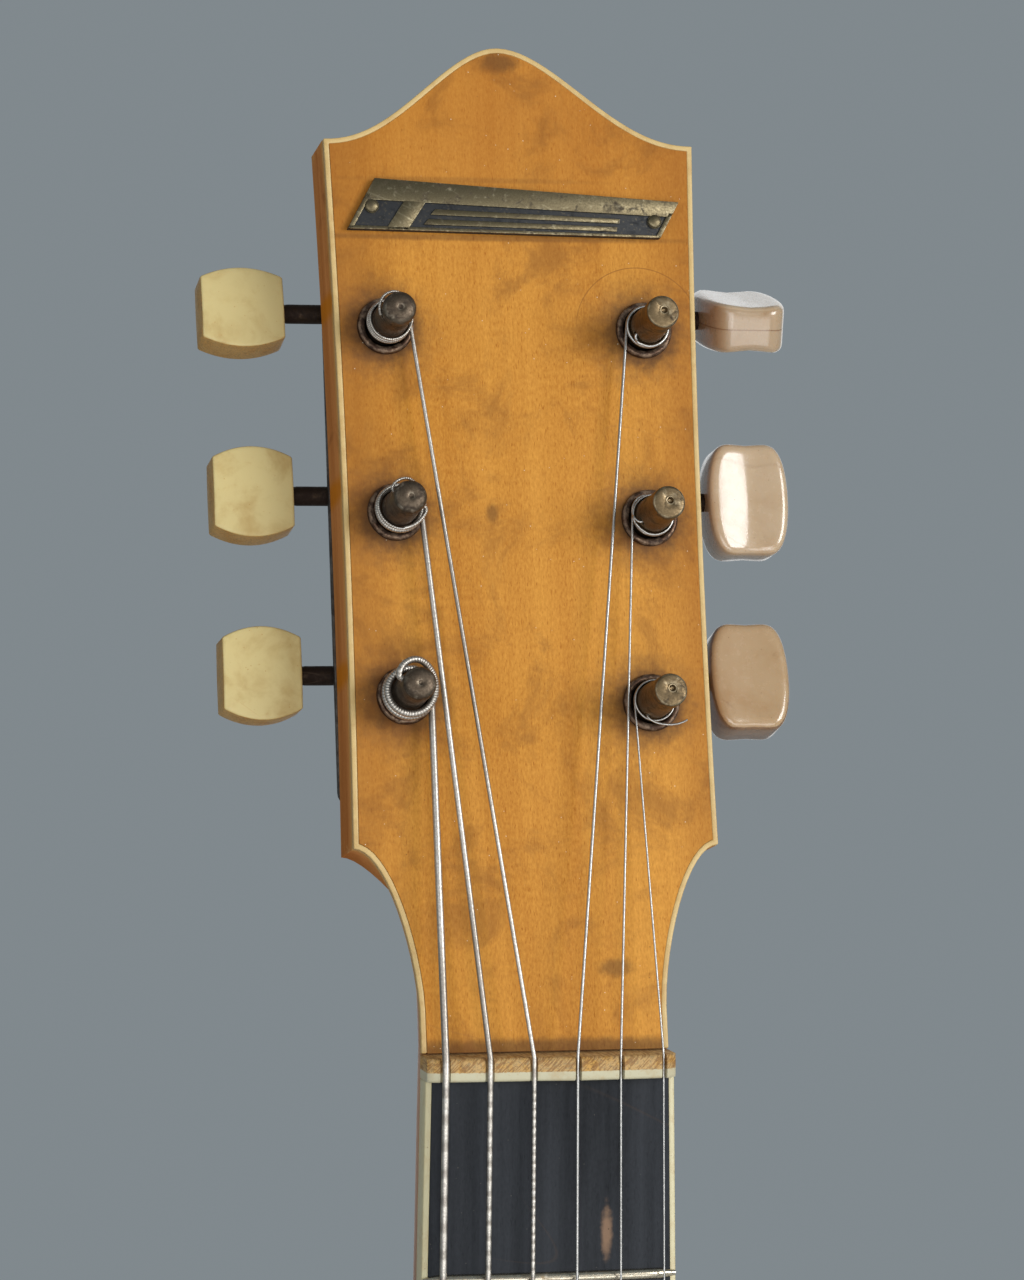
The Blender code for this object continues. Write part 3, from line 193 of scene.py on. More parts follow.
def camber(x: float) -> float:
    """How far the fingerboard's surface falls away at x from its middle."""
    radius = 305
    return radius - math.sqrt(radius**2 - x**2)


def board_width(z: float) -> float:
    """Width of the fingerboard at a height z in the neck's frame."""
    return NUT_WIDTH + (56 - NUT_WIDTH) * -z / NECK_LENGTH


def nut_x(string: int) -> float:
    """Where a string crosses the nut."""
    return (string - 2.5) * 7.93 + 0.27


def bridge_x(string: int) -> float:
    """Where a string crosses the saddle."""
    return (string - 2.5) * 10.4


# Modelling


def choose(*objects: Thing) -> None:
    """Selects these objects alone and makes the first the active one.

    Args:
        objects: the objects.
    """
    bpy.ops.object.select_all(action="DESELECT")
    for obj in objects:
        obj.select_set(True)
    bpy.context.view_layer.objects.active = objects[0]


@contextmanager
def editing(obj: Thing, kind: str = "FACE") -> Iterator[None]:
    """Edit mode on one object with everything selected.

    Args:
        obj: the object.
        kind: VERT, EDGE or FACE, what is selected.
    """
    choose(obj)
    bpy.ops.object.mode_set(mode="EDIT")
    bpy.ops.mesh.select_mode(type=kind)
    bpy.ops.mesh.select_all(action="SELECT")
    yield
    bpy.ops.object.mode_set(mode="OBJECT")


def face_out() -> None:
    """Turns all the faces of the mesh in edit mode outwards."""
    bpy.ops.mesh.select_all(action="SELECT")
    bpy.ops.mesh.normals_make_consistent(inside=False)


def ring_start(name: str, points: Sequence) -> Thing:
    """Draws a circle primitive out to a closed ring.

    Args:
        name: the object's name.
        points: the ring's points.

    Returns:
        The object.
    """
    bpy.ops.object.select_all(action="DESELECT")
    bpy.ops.mesh.primitive_circle_add(vertices=len(points), radius=1, fill_type="NOTHING")
    obj = bpy.context.object
    obj.name = name
    for vertex, point in zip(obj.data.vertices, points):
        vertex.co = point
    return obj


def skin(name: str, rings: Sequence[Sequence], closed: bool = False) -> Thing:
    """A shape skinned over rings: the first is a circle drawn out, and each next one is extruded from it.

    Args:
        name: the object's name.
        rings: rings with the same number of points.
        closed: joins the last ring to the first, where otherwise both are capped.

    Returns:
        The object, its faces outwards.
    """
    obj = ring_start(name, rings[0])
    with editing(obj, "EDGE"):
        mesh = bmesh.from_edit_mesh(obj.data)
        slot = mesh.verts.layers.int.new("slot")
        for i, vert in enumerate(mesh.verts):
            vert[slot] = i
        if not closed:
            bpy.ops.mesh.edge_face_add()
            bpy.ops.mesh.select_all(action="SELECT")
            bpy.ops.mesh.select_mode(type="EDGE")
        for ring in rings[1:]:
            bpy.ops.mesh.extrude_edges_move()
            mesh = bmesh.from_edit_mesh(obj.data)
            slot = mesh.verts.layers.int["slot"]
            for vert in mesh.verts:
                if vert.select:
                    vert.co = ring[vert[slot]]
        if closed:
            bpy.ops.mesh.select_all(action="DESELECT")
            bpy.ops.mesh.select_non_manifold()
            bpy.ops.mesh.bridge_edge_loops()
        else:
            bpy.ops.mesh.edge_face_add()
        face_out()
    obj.data.attributes.remove(obj.data.attributes["slot"])
    return obj


def slab(name: str, outline: Sequence[Flat], low: float, high: float) -> Thing:
    """Fills an outline and extrudes it.

    Args:
        name: the object's name.
        outline: (x, z) points.
        low: y of its front.
        high: y of its back.

    Returns:
        The object.
    """
    obj = ring_start(name, [(x, low, z) for x, z in outline])
    with editing(obj, "EDGE"):
        bpy.ops.mesh.edge_face_add()
        bpy.ops.mesh.select_mode(type="FACE")
        bpy.ops.mesh.select_all(action="SELECT")
        bpy.ops.mesh.extrude_region_move(TRANSFORM_OT_translate={"value": (0, high - low, 0)})
        face_out()
    return obj


def block(name: str, low: Sequence[float], high: Sequence[float]) -> Thing:
    """Adds a cube primitive for cutting.

    Args:
        name: the object's name.
        low: its lowest corner.
        high: its highest corner.

    Returns:
        The object.
    """
    bpy.ops.object.select_all(action="DESELECT")
    middle = (Vector(low) + Vector(high)) / 2
    bpy.ops.mesh.primitive_cube_add(size=1, location=middle, scale=Vector(high) - Vector(low))
    bpy.context.object.name = name
    return settle(bpy.context.object)


def turned(name: str, profile: Sequence[Flat], sides: int = 40, axis: str = "Y") -> Thing:
    """A turned piece: a point drawn out along a profile and spun.

    Args:
        name: the object's name.
        profile: (radius, height) pairs in order; a closed profile ends on its first pair.
        sides: steps round the axis.
        axis: X, Y or Z, through the origin.

    Returns:
        The object, closed and with its faces outwards.
    """
    along = Vector([letter == axis for letter in "XYZ"])
    out = Vector((0, 0, 1)) if axis != "Z" else Vector((1, 0, 0))
    points = [out * radius + along * height for radius, height in profile]
    bpy.ops.object.select_all(action="DESELECT")
    bpy.ops.mesh.primitive_plane_add(size=1)
    obj = bpy.context.object
    obj.name = name
    with editing(obj, "VERT"):
        bpy.ops.mesh.merge(type="CENTER")
        bpy.ops.transform.translate(value=points[0])
        for before, after in zip(points, points[1:]):
            bpy.ops.mesh.extrude_region_move(TRANSFORM_OT_translate={"value": after - before})
        bpy.ops.mesh.select_all(action="SELECT")
        bpy.ops.mesh.spin(steps=sides, angle=math.tau, center=(0, 0, 0), axis=along)
        bpy.ops.mesh.select_all(action="SELECT")
        bpy.ops.mesh.remove_doubles(threshold=0.001)
        bpy.ops.mesh.fill_holes(sides=0)
        face_out()
    return obj


def tube(name: str, path: Sequence[tuple[Vector, float]], sides: int = 12) -> Thing:
    """A curve with a round section made a mesh, with its length stored in the attribute "along".

    Args:
        name: the object's name.
        path: (point, radius) pairs.
        sides: an even number of sides of its section.

    Returns:
        The mesh object.
    """
    bpy.ops.object.select_all(action="DESELECT")
    bpy.ops.curve.primitive_nurbs_path_add()
    obj = bpy.context.object
    obj.name = name
    curve = obj.data
    curve.splines.clear()
    spline = curve.splines.new("POLY")
    spline.points.add(len(path) - 1)
    lengths = [0.0]
    for i, (point, (place, radius)) in enumerate(zip(spline.points, path)):
        point.co = (*place, 1)
        point.radius = radius
        if i:
            lengths.append(lengths[-1] + (place - path[i - 1][0]).length)
    curve.bevel_depth = 1
    curve.bevel_resolution = sides // 2 - 2
    curve.use_fill_caps = True
    choose(obj)
    bpy.ops.object.convert(target="MESH")
    obj = bpy.context.object
    values = [lengths[min(i // sides, len(path) - 1)] for i in range(len(obj.data.vertices))]
    obj.data.attributes.new("along", "FLOAT", "POINT").data.foreach_set("value", values)
    with editing(obj):
        bpy.ops.mesh.remove_doubles(threshold=0.0001)
    return obj


def settle(obj: Thing, place: Matrix = UPRIGHT) -> Thing:
    """Puts an object at a place and applies it, so that its place is in its mesh.

    Args:
        obj: the object.
        place: the place.

    Returns:
        The object.
    """
    obj.matrix_world = place @ obj.matrix_world
    choose(obj)
    bpy.ops.object.transform_apply(location=True, rotation=True, scale=True)
    return obj


def twin(obj: Thing, name: str, place: Matrix) -> Thing:
    """Copies an object with its mesh to another place.

    Args:
        obj: the object.
        name: the copy's name.
        place: where it goes.

    Returns:
        The copy.
    """
    choose(obj)
    bpy.ops.object.duplicate(linked=False)
    bpy.context.object.name = name
    return settle(bpy.context.object, place)


def drop(*objects: Thing) -> None:
    """Removes objects that served as patterns or cutters."""
    for obj in objects:
        bpy.data.objects.remove(obj, do_unlink=True)


def joined(name: str, pieces: Sequence[Thing]) -> Thing:
    """Makes several objects one.

    Args:
        name: its name.
        pieces: the objects.

    Returns:
        The one object.
    """
    choose(*pieces)
    bpy.ops.object.join()
    pieces[0].name = name
    return pieces[0]


def apply_modifier(obj: Thing, kind: str, **settings: object) -> Thing:
    """Adds a modifier and applies it.

    Args:
        obj: the object.
        kind: the modifier's type.
        settings: its properties.

    Returns:
        The object.
    """
    modifier = obj.modifiers.new("shape", kind)
    for key, value in settings.items():
        setattr(modifier, key, value)
    choose(obj)
    bpy.ops.object.modifier_apply(modifier=modifier.name)
    return obj


def soften(obj: Thing, width: float, segments: int = 2, angle: float = 35) -> Thing:
    """Rounds the edges that are sharper than an angle in degrees."""
    limit = math.radians(angle)
    return apply_modifier(obj, "BEVEL", width=width, segments=segments, limit_method="ANGLE", angle_limit=limit)


def cut(obj: Thing, *cutters: Thing) -> Thing:
    """Cuts the cutters out of an object and removes them.

    Args:
        obj: the object.
        cutters: what is cut out.

    Returns:
        The object.
    """
    for cutter in cutters:
        apply_modifier(obj, "BOOLEAN", operation="DIFFERENCE", solver="EXACT", object=cutter)
        drop(cutter)
    return obj


def mark(obj: Thing, name: str, rule: Callable[[Vector], float]) -> None:
    """Stores a value for each point of a mesh, which its finish reads as an attribute."""
    layer = obj.data.attributes.new(name, "FLOAT", "POINT")
    layer.data.foreach_set("value", [rule(vertex.co) for vertex in obj.data.vertices])


def mark_wear(obj: Thing) -> None:
    """Stores how sharply each point stands out, for worn edges.

    Args:
        obj: the piece.
    """
    mesh = bmesh.new()
    mesh.from_mesh(obj.data)
    layer = mesh.verts.layers.float.new("wear")
    for vert in mesh.verts:
        angles = [edge.calc_face_angle_signed(0.0) for edge in vert.link_edges]
        vert[layer] = min(max(angles, default=0.0) / 0.6, 1.0)
    mesh.to_mesh(obj.data)
    mesh.free()


def show(
    obj: Thing,
    finish: "Finish",
    place: Matrix = UPRIGHT,
    body: str = ROOT,
    stands_for: Sequence[str] = (),
    smooth: float = 40,
) -> Thing:
    """Settles a finished piece in metres, smooths and dresses it, and lets it ride on its body.

    Args:
        obj: the piece, in its own frame.
        finish: what it is made of.
        place: its frame.
        body: the moving body that it belongs to.
        stands_for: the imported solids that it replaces.
        smooth: edges sharper than this angle in degrees stay sharp.

    Returns:
        The piece.
    """
    settle(obj, Matrix.Scale(MM, 4) @ place)
    choose(obj)
    bpy.ops.object.shade_smooth_by_angle(angle=math.radians(smooth))
    mark_wear(obj)
    obj.data.materials.clear()
    obj.data.materials.append(finish.material())
    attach(obj, body)
    if stands_for:
        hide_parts(*stands_for)
    return obj


# Node graphs


class Graph:
    """Adds nodes to one tree and links them."""

    def __init__(self, tree: bpy.types.NodeTree) -> None:
        """Works on a material's or a group's tree."""
        self.tree = tree

    def feed(self, socket: Socket, value: object) -> None:
        """Links a socket to another, or sets its own value.

        Args:
            socket: the socket.
            value: another socket, a number, a vector or a colour.
        """
        if isinstance(value, bpy.types.NodeSocket):
            self.tree.links.new(value, socket)
        else:
            socket.default_value = (*value, 1) if socket.type == "RGBA" else value

    def add(self, kind: str, inputs: dict | None = None, **settings: object) -> bpy.types.Node:
        """Adds a node.

        Args:
            kind: its type name without the prefix ShaderNode.
            inputs: values or sockets, by the input's name or number.
            settings: its properties.

        Returns:
            The node.
        """
        node = self.tree.nodes.new("ShaderNode" + kind)
        for key, value in settings.items():
            setattr(node, key, value)
        for key, value in (inputs or {}).items():
            self.feed(node.inputs[key], value)
        return node

    def place(self, turn: float = 0.0, centre: Sequence[float] = (0, 0, 0)) -> Socket:
        """The piece's own coordinates in millimetres.

        Args:
            turn: turns them back round X by this angle in degrees.
            centre: where they start.

        Returns:
            A vector.
        """
        own = self.add("TexCoord").outputs["Object"]
        angle = math.radians(turn)
        start = Matrix.Rotation(angle, 3, "X") @ -Vector(centre)
        inputs = {"Vector": own, "Location": start, "Rotation": (angle, 0, 0), "Scale": (1 / MM,) * 3}
        return self.add("Mapping", inputs).outputs[0]

    def stretch(self, vector: Socket, scale: Triple, turn: Triple | None = None) -> Socket:
        """Coordinates turned, if an angle is given, and multiplied along each axis."""
        aimed = self.add("Mapping", {"Vector": vector, "Rotation": turn}).outputs[0] if turn else vector
        return self.add("VectorMath", {0: aimed, 1: scale}, operation="MULTIPLY").outputs[0]

    def math(self, operation: str, a: object, b: object = 0.0, c: object = 0.0, clamp: bool = False) -> Socket:
        """One step of arithmetic on up to three values."""
        return self.add("Math", {0: a, 1: b, 2: c}, operation=operation, use_clamp=clamp).outputs[0]

    def spread(self, value: object, amount: object, about: float = 0.5) -> Socket:
        """A value less its middle, times an amount."""
        return self.math("MULTIPLY", self.math("SUBTRACT", value, about), amount)

    def band(self, value: object, low: float, high: float, start: object = 0.0, end: object = 1.0) -> Socket:
        """Goes smoothly from start to end while a value goes from low to high."""
        inputs = {"Value": value, "From Min": low, "From Max": high, "To Min": start, "To Max": end}
        return self.add("MapRange", inputs, interpolation_type="SMOOTHSTEP").outputs[0]

    def mix(self, share: object, first: object, second: object) -> Socket:
        """Mixes two colours.

        Args:
            share: how much of the second.
            first: a colour.
            second: a colour.

        Returns:
            The mixed colour.
        """
        node = self.add("Mix", data_type="RGBA", clamp_factor=True)
        for index, value in ((0, share), (6, first), (7, second)):
            self.feed(node.inputs[index], value)
        return node.outputs[2]

    def noise(self, vector: object, scale: object = 1.0, detail: float = 3, rough: float = 0.5, warp: float = 0) -> Socket:
        """Soft noise, mostly from 0.3 to 0.7."""
        inputs = {"Vector": vector, "Scale": scale, "Detail": detail, "Roughness": rough, "Distortion": warp}
        return self.add("TexNoise", inputs).outputs[0]

    def part(self, vector: Socket, axis: str) -> Socket:
        """One coordinate of a vector."""
        return self.add("SeparateXYZ", {0: vector}).outputs[axis]

    def stored(self, name: str) -> Socket:
        """A value stored on the mesh."""
        return self.add("Attribute", attribute_name=name, attribute_type="GEOMETRY").outputs["Fac"]

    def bump(self, height: object, depth: float, strength: float = 1.0, under: object = None) -> Socket:
        """Makes a normal from a height.

        Args:
            height: from 0 to 1.
            depth: what its full rise is in millimetres.
            strength: how much it counts.
            under: a normal that it lies on.

        Returns:
            The normal.
        """
        inputs = {"Height": height, "Distance": depth * MM, "Strength": strength}
        if under is not None:
            inputs["Normal"] = under
        return self.add("Bump", inputs).outputs[0]

    def effect(self, effect: "Effect", **inputs: object) -> Socket:
        """Places a shared effect.

        Args:
            effect: which one.
            inputs: this material's values, by the input's name.

        Returns:
            Its mask or colour.
        """
        node = self.tree.nodes.new("ShaderNodeGroup")
        node.node_tree = effect.tree()
        for key, value in inputs.items():
            self.feed(node.inputs[key], value)
        return node.outputs[0]


class Effect(Enum):
    """The shared effects with their inputs, each a node group that is built once."""

    EDGE_WEAR = ("edge_wear", "vector", "amount", "scale")
    WOOD = ("wood", "vector", "dark", "light", "streaks", "flecks")
    GRIME = ("grime", "vector", "amount", "scale")
    SCRATCHES = ("scratches", "vector", "amount", "scale")
    SPECKS = ("specks", "vector", "amount", "scale", "size")
    SPOT = ("spot", "vector", "centre", "shape", "ragged")

    def tree(self) -> bpy.types.NodeTree:
        """Builds the effect's group on first use.

        Returns:
            The group.
        """
        label, *inputs = self.value
        found = bpy.data.node_groups.get(label)
        if found:
            return found
        tree = bpy.data.node_groups.new(label, "ShaderNodeTree")
        kinds = {"vector": "Vector", "centre": "Vector", "shape": "Vector", "dark": "Color", "light": "Color"}
        for name in inputs:
            tree.interface.new_socket(name, in_out="INPUT", socket_type="NodeSocket" + kinds.get(name, "Float"))
        output = "Color" if self is Effect.WOOD else "Float"
        tree.interface.new_socket("result", in_out="OUTPUT", socket_type="NodeSocket" + output)
        given = tree.nodes.new("NodeGroupInput").outputs
        result = getattr(self, label)(Graph(tree), given)
        tree.links.new(result, tree.nodes.new("NodeGroupOutput").inputs[0])
        return tree

    def edge_wear(self, graph: Graph, given: Sequence[Socket]) -> Socket:
        """Worn where the mesh stands out, broken up by noise."""
        ragged = graph.noise(given["vector"], given["scale"], 4, 0.65)
        worn = graph.math("MULTIPLY", graph.stored("wear"), given["amount"])
        return graph.band(graph.math("ADD", worn, graph.spread(ragged, 1.0)), 0.35, 0.6)

    def wood(self, graph: Graph, given: Sequence[Socket]) -> Socket:
        """Broad streaks along z, a fine granular figure and short dark pores."""
        vector = given["vector"]
        broad = graph.noise(graph.stretch(vector, (0.085, 0.085, 0.007)), 1.0, 4, 0.55, 0.4)
        lines = graph.noise(graph.stretch(vector, (0.75, 0.75, 0.035)), 1.0, 3, 0.6)
        grains = graph.noise(graph.stretch(vector, (2.3, 2.3, 1.0)), 1.0, 3, 0.6)
        pores = graph.noise(graph.stretch(vector, (4.2, 4.2, 0.7)), 1.0, 1, 0.5)
        tone = graph.math("MULTIPLY_ADD", graph.band(broad, 0.3, 0.7, -0.5, 0.5), given["streaks"], 0.5)
        tone = graph.math("ADD", tone, graph.spread(lines, graph.math("MULTIPLY", given["streaks"], 0.9)))
        tone = graph.math("ADD", tone, graph.spread(grains, graph.math("MULTIPLY", given["flecks"], 1.9)))
        dark = graph.math("MULTIPLY", graph.band(pores, 0.62, 0.74), given["flecks"])
        tone = graph.math("SUBTRACT", tone, graph.math("MULTIPLY", dark, 0.8), clamp=True)
        return graph.mix(tone, given["dark"], given["light"])

    def grime(self, graph: Graph, given: Sequence[Socket]) -> Socket:
        """Blotches of dirt, whose share grows with the amount."""
        blotch = graph.noise(given["vector"], given["scale"], 6, 0.68, 0.6)
        return graph.band(graph.math("MULTIPLY_ADD", given["amount"], 0.3, blotch), 0.62, 0.82)

    def scratches(self, graph: Graph, given: Sequence[Socket]) -> Socket:
        """Hair scratches: thin level lines of two soft noises, broken off here and there."""
        lines = []
        for turn in (0.5, -0.7):
            aim = (turn, turn * 2, turn)
            field = graph.noise(graph.stretch(given["vector"], (1.0, 0.35, 0.12), aim), given["scale"], 1, 0.4)
            away = graph.math("DIVIDE", graph.math("ABSOLUTE", graph.spread(field, 1.0)), given["scale"])
            gate = graph.noise(graph.stretch(given["vector"], (0.6, 0.6, 0.6), aim), given["scale"], 2)
            lines.append(graph.math("MULTIPLY", graph.band(away, 0.0, 0.06, 1.0, 0.0), graph.band(gate, 0.52, 0.6)))
        return graph.math("MULTIPLY", graph.math("MAXIMUM", *lines), given["amount"])

    def specks(self, graph: Graph, given: Sequence[Socket]) -> Socket:
        """Scattered spots, left out where a noise is low."""
        near = graph.add("TexVoronoi", {"Vector": given["vector"], "Scale": given["scale"]}).outputs["Distance"]
        gate = graph.noise(given["vector"], graph.math("MULTIPLY", given["scale"], 0.8), 1)
        spot = graph.band(graph.math("DIVIDE", near, given["size"]), 0.6, 1.0, 1.0, 0.0)
        return graph.math("MULTIPLY", graph.math("MULTIPLY", spot, graph.band(gate, 0.5, 0.58)), given["amount"])

    def spot(self, graph: Graph, given: Sequence[Socket]) -> Socket:
        """A soft oval mark about a centre, of the shape's half sizes and gone at twice those."""
        away = graph.add("VectorMath", {0: given["vector"], 1: given["centre"]}, operation="SUBTRACT").outputs[0]
        share = graph.add("VectorMath", {0: away, 1: given["shape"]}, operation="DIVIDE").outputs[0]
        share = graph.add("VectorMath", {0: share}, operation="LENGTH").outputs["Value"]
        rough = graph.spread(graph.noise(given["vector"], 0.5, 5, 0.65), given["ragged"])
        return graph.band(graph.math("ADD", share, rough), 0.6, 2.0, 1.0, 0.0)


# Finishes


@dataclass(frozen=True)
class Finish:
    """What a piece is made of: one Principled shader that the nodes of paint feed."""

    name: str
    slot: str

    def paint(self, graph: Graph, shader: bpy.types.Node) -> None:
        """Adds the finish's nodes and feeds its shader."""
        raise NotImplementedError

    def material(self) -> bpy.types.Material:
        """Builds the finish's material on first use.

        Returns:
            The material.
        """
        label = "finish_" + self.name
        found = bpy.data.materials.get(label)
        if found:
            return found
        made = bpy.data.materials.new(label)
        made.use_nodes = True
        self.paint(Graph(made.node_tree), made.node_tree.nodes["Principled BSDF"])
        return made


@dataclass(frozen=True)
class StainOrShade:
    """An oval mark, used for real stained spots and for painted shade: its centre and half sizes in its finish's
    coordinates, its colour and strength.
    """

    centre: Triple
    shape: Triple
    colour: Triple = (0.05, 0.024, 0.012)
    strength: float = 0.8
    ragged: float = 1.2


@dataclass(frozen=True)
class Wood(Finish):
    """Lacquered or bare wood, its grain along z of the frame that its coordinates follow."""

    dark: Triple
    light: Triple
    turn: float = 0.0
    centre: Triple = (0, 0, 0)
    streaks: float = 0.7
    flecks: float = 0.4
    roughness: float = 0.4
    sheen: float = 0.3
    coat: float = 0.3
    wear_colour: Triple = (0.3, 0.17, 0.08)
    wear: float = 0.4
    dirt: Triple = (0.08, 0.04, 0.02)
    grime: float = 0.0
    dust: float = 0.0
    burst: Triple | None = None
    flame: float = 0.0
    stains_and_shade: tuple[StainOrShade, ...] = ()
    ring: Triple | None = None

    def paint(self, graph: Graph, shader: bpy.types.Node) -> None:
        """Figure, burst, stained spots, painted shade, dirt, dust and worn edges, under a thin lacquer.

        Args:
            graph: the material's nodes.
            shader: its Principled shader.
        """
        place = graph.place(self.turn, self.centre)
        wood = {"dark": self.dark, "light": self.light, "streaks": self.streaks, "flecks": self.flecks}
        colour = graph.effect(Effect.WOOD, vector=place, **wood)
        if self.flame:
            waves = graph.noise(graph.stretch(place, (0.014, 0.014, 0.15)), 1.0, 2, 0.5, 0.8)
            colour = graph.mix(graph.band(waves, 0.4, 0.62, 0.0, self.flame), colour, self.dark)
        if self.burst:
            colour = graph.mix(graph.band(graph.stored("burst"), 0.45, 0.98), colour, self.burst)
        # These oval marks are real stained spots on some finishes, and painted shade and shadow on the amber face.
        for tint in self.stains_and_shade:
            marks = {"centre": tint.centre, "shape": tint.shape, "ragged": tint.ragged}
            spot = graph.effect(Effect.SPOT, vector=place, **marks)
            colour = graph.mix(graph.math("MULTIPLY", spot, tint.strength), colour, tint.colour)
        if self.ring:
            x, z, radius = self.ring
            away = graph.add("VectorMath", {0: place, 1: (x, 0, z)}, operation="DISTANCE").outputs["Value"]
            line = graph.band(graph.math("ABSOLUTE", graph.math("SUBTRACT", away, radius)), 0.03, 0.15, 0.6, 0.0)
            above = graph.band(graph.part(place, "Z"), z - 2, z + 7)
            colour = graph.mix(graph.math("MULTIPLY", line, above), colour, self.dirt)
        if self.grime:
            grime = graph.effect(Effect.GRIME, vector=place, amount=self.grime, scale=0.06)
            colour = graph.mix(graph.math("MULTIPLY", grime, 0.5), colour, self.dirt)
        dots = graph.effect(Effect.SPECKS, vector=place, amount=0.6, scale=0.35, size=0.06)
        colour = graph.mix(dots, colour, self.dirt)
        if self.dust:
            dust = graph.effect(Effect.SPECKS, vector=place, amount=self.dust, scale=0.62, size=0.065)
            colour = graph.mix(dust, colour, (0.75, 0.66, 0.5))
        rough = graph.band(graph.noise(place, 0.024, 4, 0.6), 0.3, 0.7, self.roughness - 0.06, self.roughness + 0.1)
        if self.wear:
            worn = graph.effect(Effect.EDGE_WEAR, vector=place, amount=self.wear, scale=0.4)
            colour = graph.mix(worn, colour, self.wear_colour)
            rough = graph.math("MULTIPLY_ADD", worn, 0.2, rough)
        scratch = graph.effect(Effect.SCRATCHES, vector=place, amount=0.35, scale=0.03)
        colour = graph.mix(graph.math("MULTIPLY", scratch, 0.4), colour, self.wear_colour)
        graph.feed(shader.inputs["Base Color"], colour)
        graph.feed(shader.inputs["Roughness"], rough)
        shader.inputs["Specular IOR Level"].default_value = self.sheen
        shader.inputs["Coat Weight"].default_value = self.coat
        shader.inputs["Coat Roughness"].default_value = 0.25
        ripple = graph.bump(graph.noise(place, 0.13, 2), 0.2, 0.25)
        pores = graph.bump(graph.noise(graph.stretch(place, (3, 3, 0.5))), 0.03, 0.4, ripple)
        graph.feed(shader.inputs["Normal"], graph.bump(scratch, -0.06, 0.5, pores))


@dataclass(frozen=True)
class Metal(Finish):
    """Plated or bare metal with tarnish."""

    colour: Triple
    tarnish: Triple
    amount: float = 0.4
    roughness: float = 0.35
    bright: Triple = (0.7, 0.62, 0.5)
    wear: float = 0.5
    scale: float = 0.3
    winding: float = 0.0
    recess: float = 0.0

    def paint(self, graph: Graph, shader: bpy.types.Node) -> None:
        """Tarnish, bright edges and scratches; grooves where it is wound, and dark paint in a recess.

        Args:
            graph: the material's nodes.
            shader: its Principled shader.
        """
        place = graph.place()
        grime = graph.effect(Effect.GRIME, vector=place, amount=self.amount, scale=self.scale)
        fine = graph.noise(place, self.scale * 6, 5, 0.75)
        colour = graph.mix(graph.band(fine, 0.35, 0.65, 0.0, 0.5), self.colour, self.tarnish)
        colour = graph.mix(grime, colour, self.tarnish)
        worn = graph.effect(Effect.EDGE_WEAR, vector=place, amount=self.wear, scale=self.scale * 2)
        colour = graph.mix(worn, colour, self.bright)
        scratch = graph.effect(Effect.SCRATCHES, vector=place, amount=0.6, scale=self.scale / 2)
        colour = graph.mix(graph.math("MULTIPLY", scratch, 0.5), colour, self.bright)
        normal = graph.bump(fine, 0.03, 0.35)
        metal = graph.band(grime, 0.0, 1.0, 1.0, 0.6)
        dull = graph.band(fine, 0.3, 0.7, self.roughness - 0.06, self.roughness + 0.08)
        dull = graph.math("MULTIPLY_ADD", grime, 0.25, dull)
        if self.winding:
            wave = graph.math("SINE", graph.math("MULTIPLY", graph.stored("along"), math.tau / self.winding))
            colour = graph.mix(graph.band(wave, -0.9, 0.1, 0.6, 0.0), colour, self.tarnish)
            normal = graph.bump(wave, 0.04, 0.6, normal)
        if self.recess:
            own = graph.place(TILT, HEAD.translation)
            ragged = graph.spread(graph.noise(own, 1.6, 4, 0.75), 0.7)
            low = graph.band(graph.math("ADD", graph.part(own, "Y"), ragged), -self.recess, 0.2 - self.recess)
            colour = graph.mix(low, colour, (0.009, 0.01, 0.012))
            metal = graph.math("SUBTRACT", metal, low, clamp=True)
            dull = graph.math("MULTIPLY_ADD", low, 0.2, dull)
        graph.feed(shader.inputs["Base Color"], colour)
        graph.feed(shader.inputs["Roughness"], dull)
        graph.feed(shader.inputs["Metallic"], metal)
        graph.feed(shader.inputs["Normal"], normal)


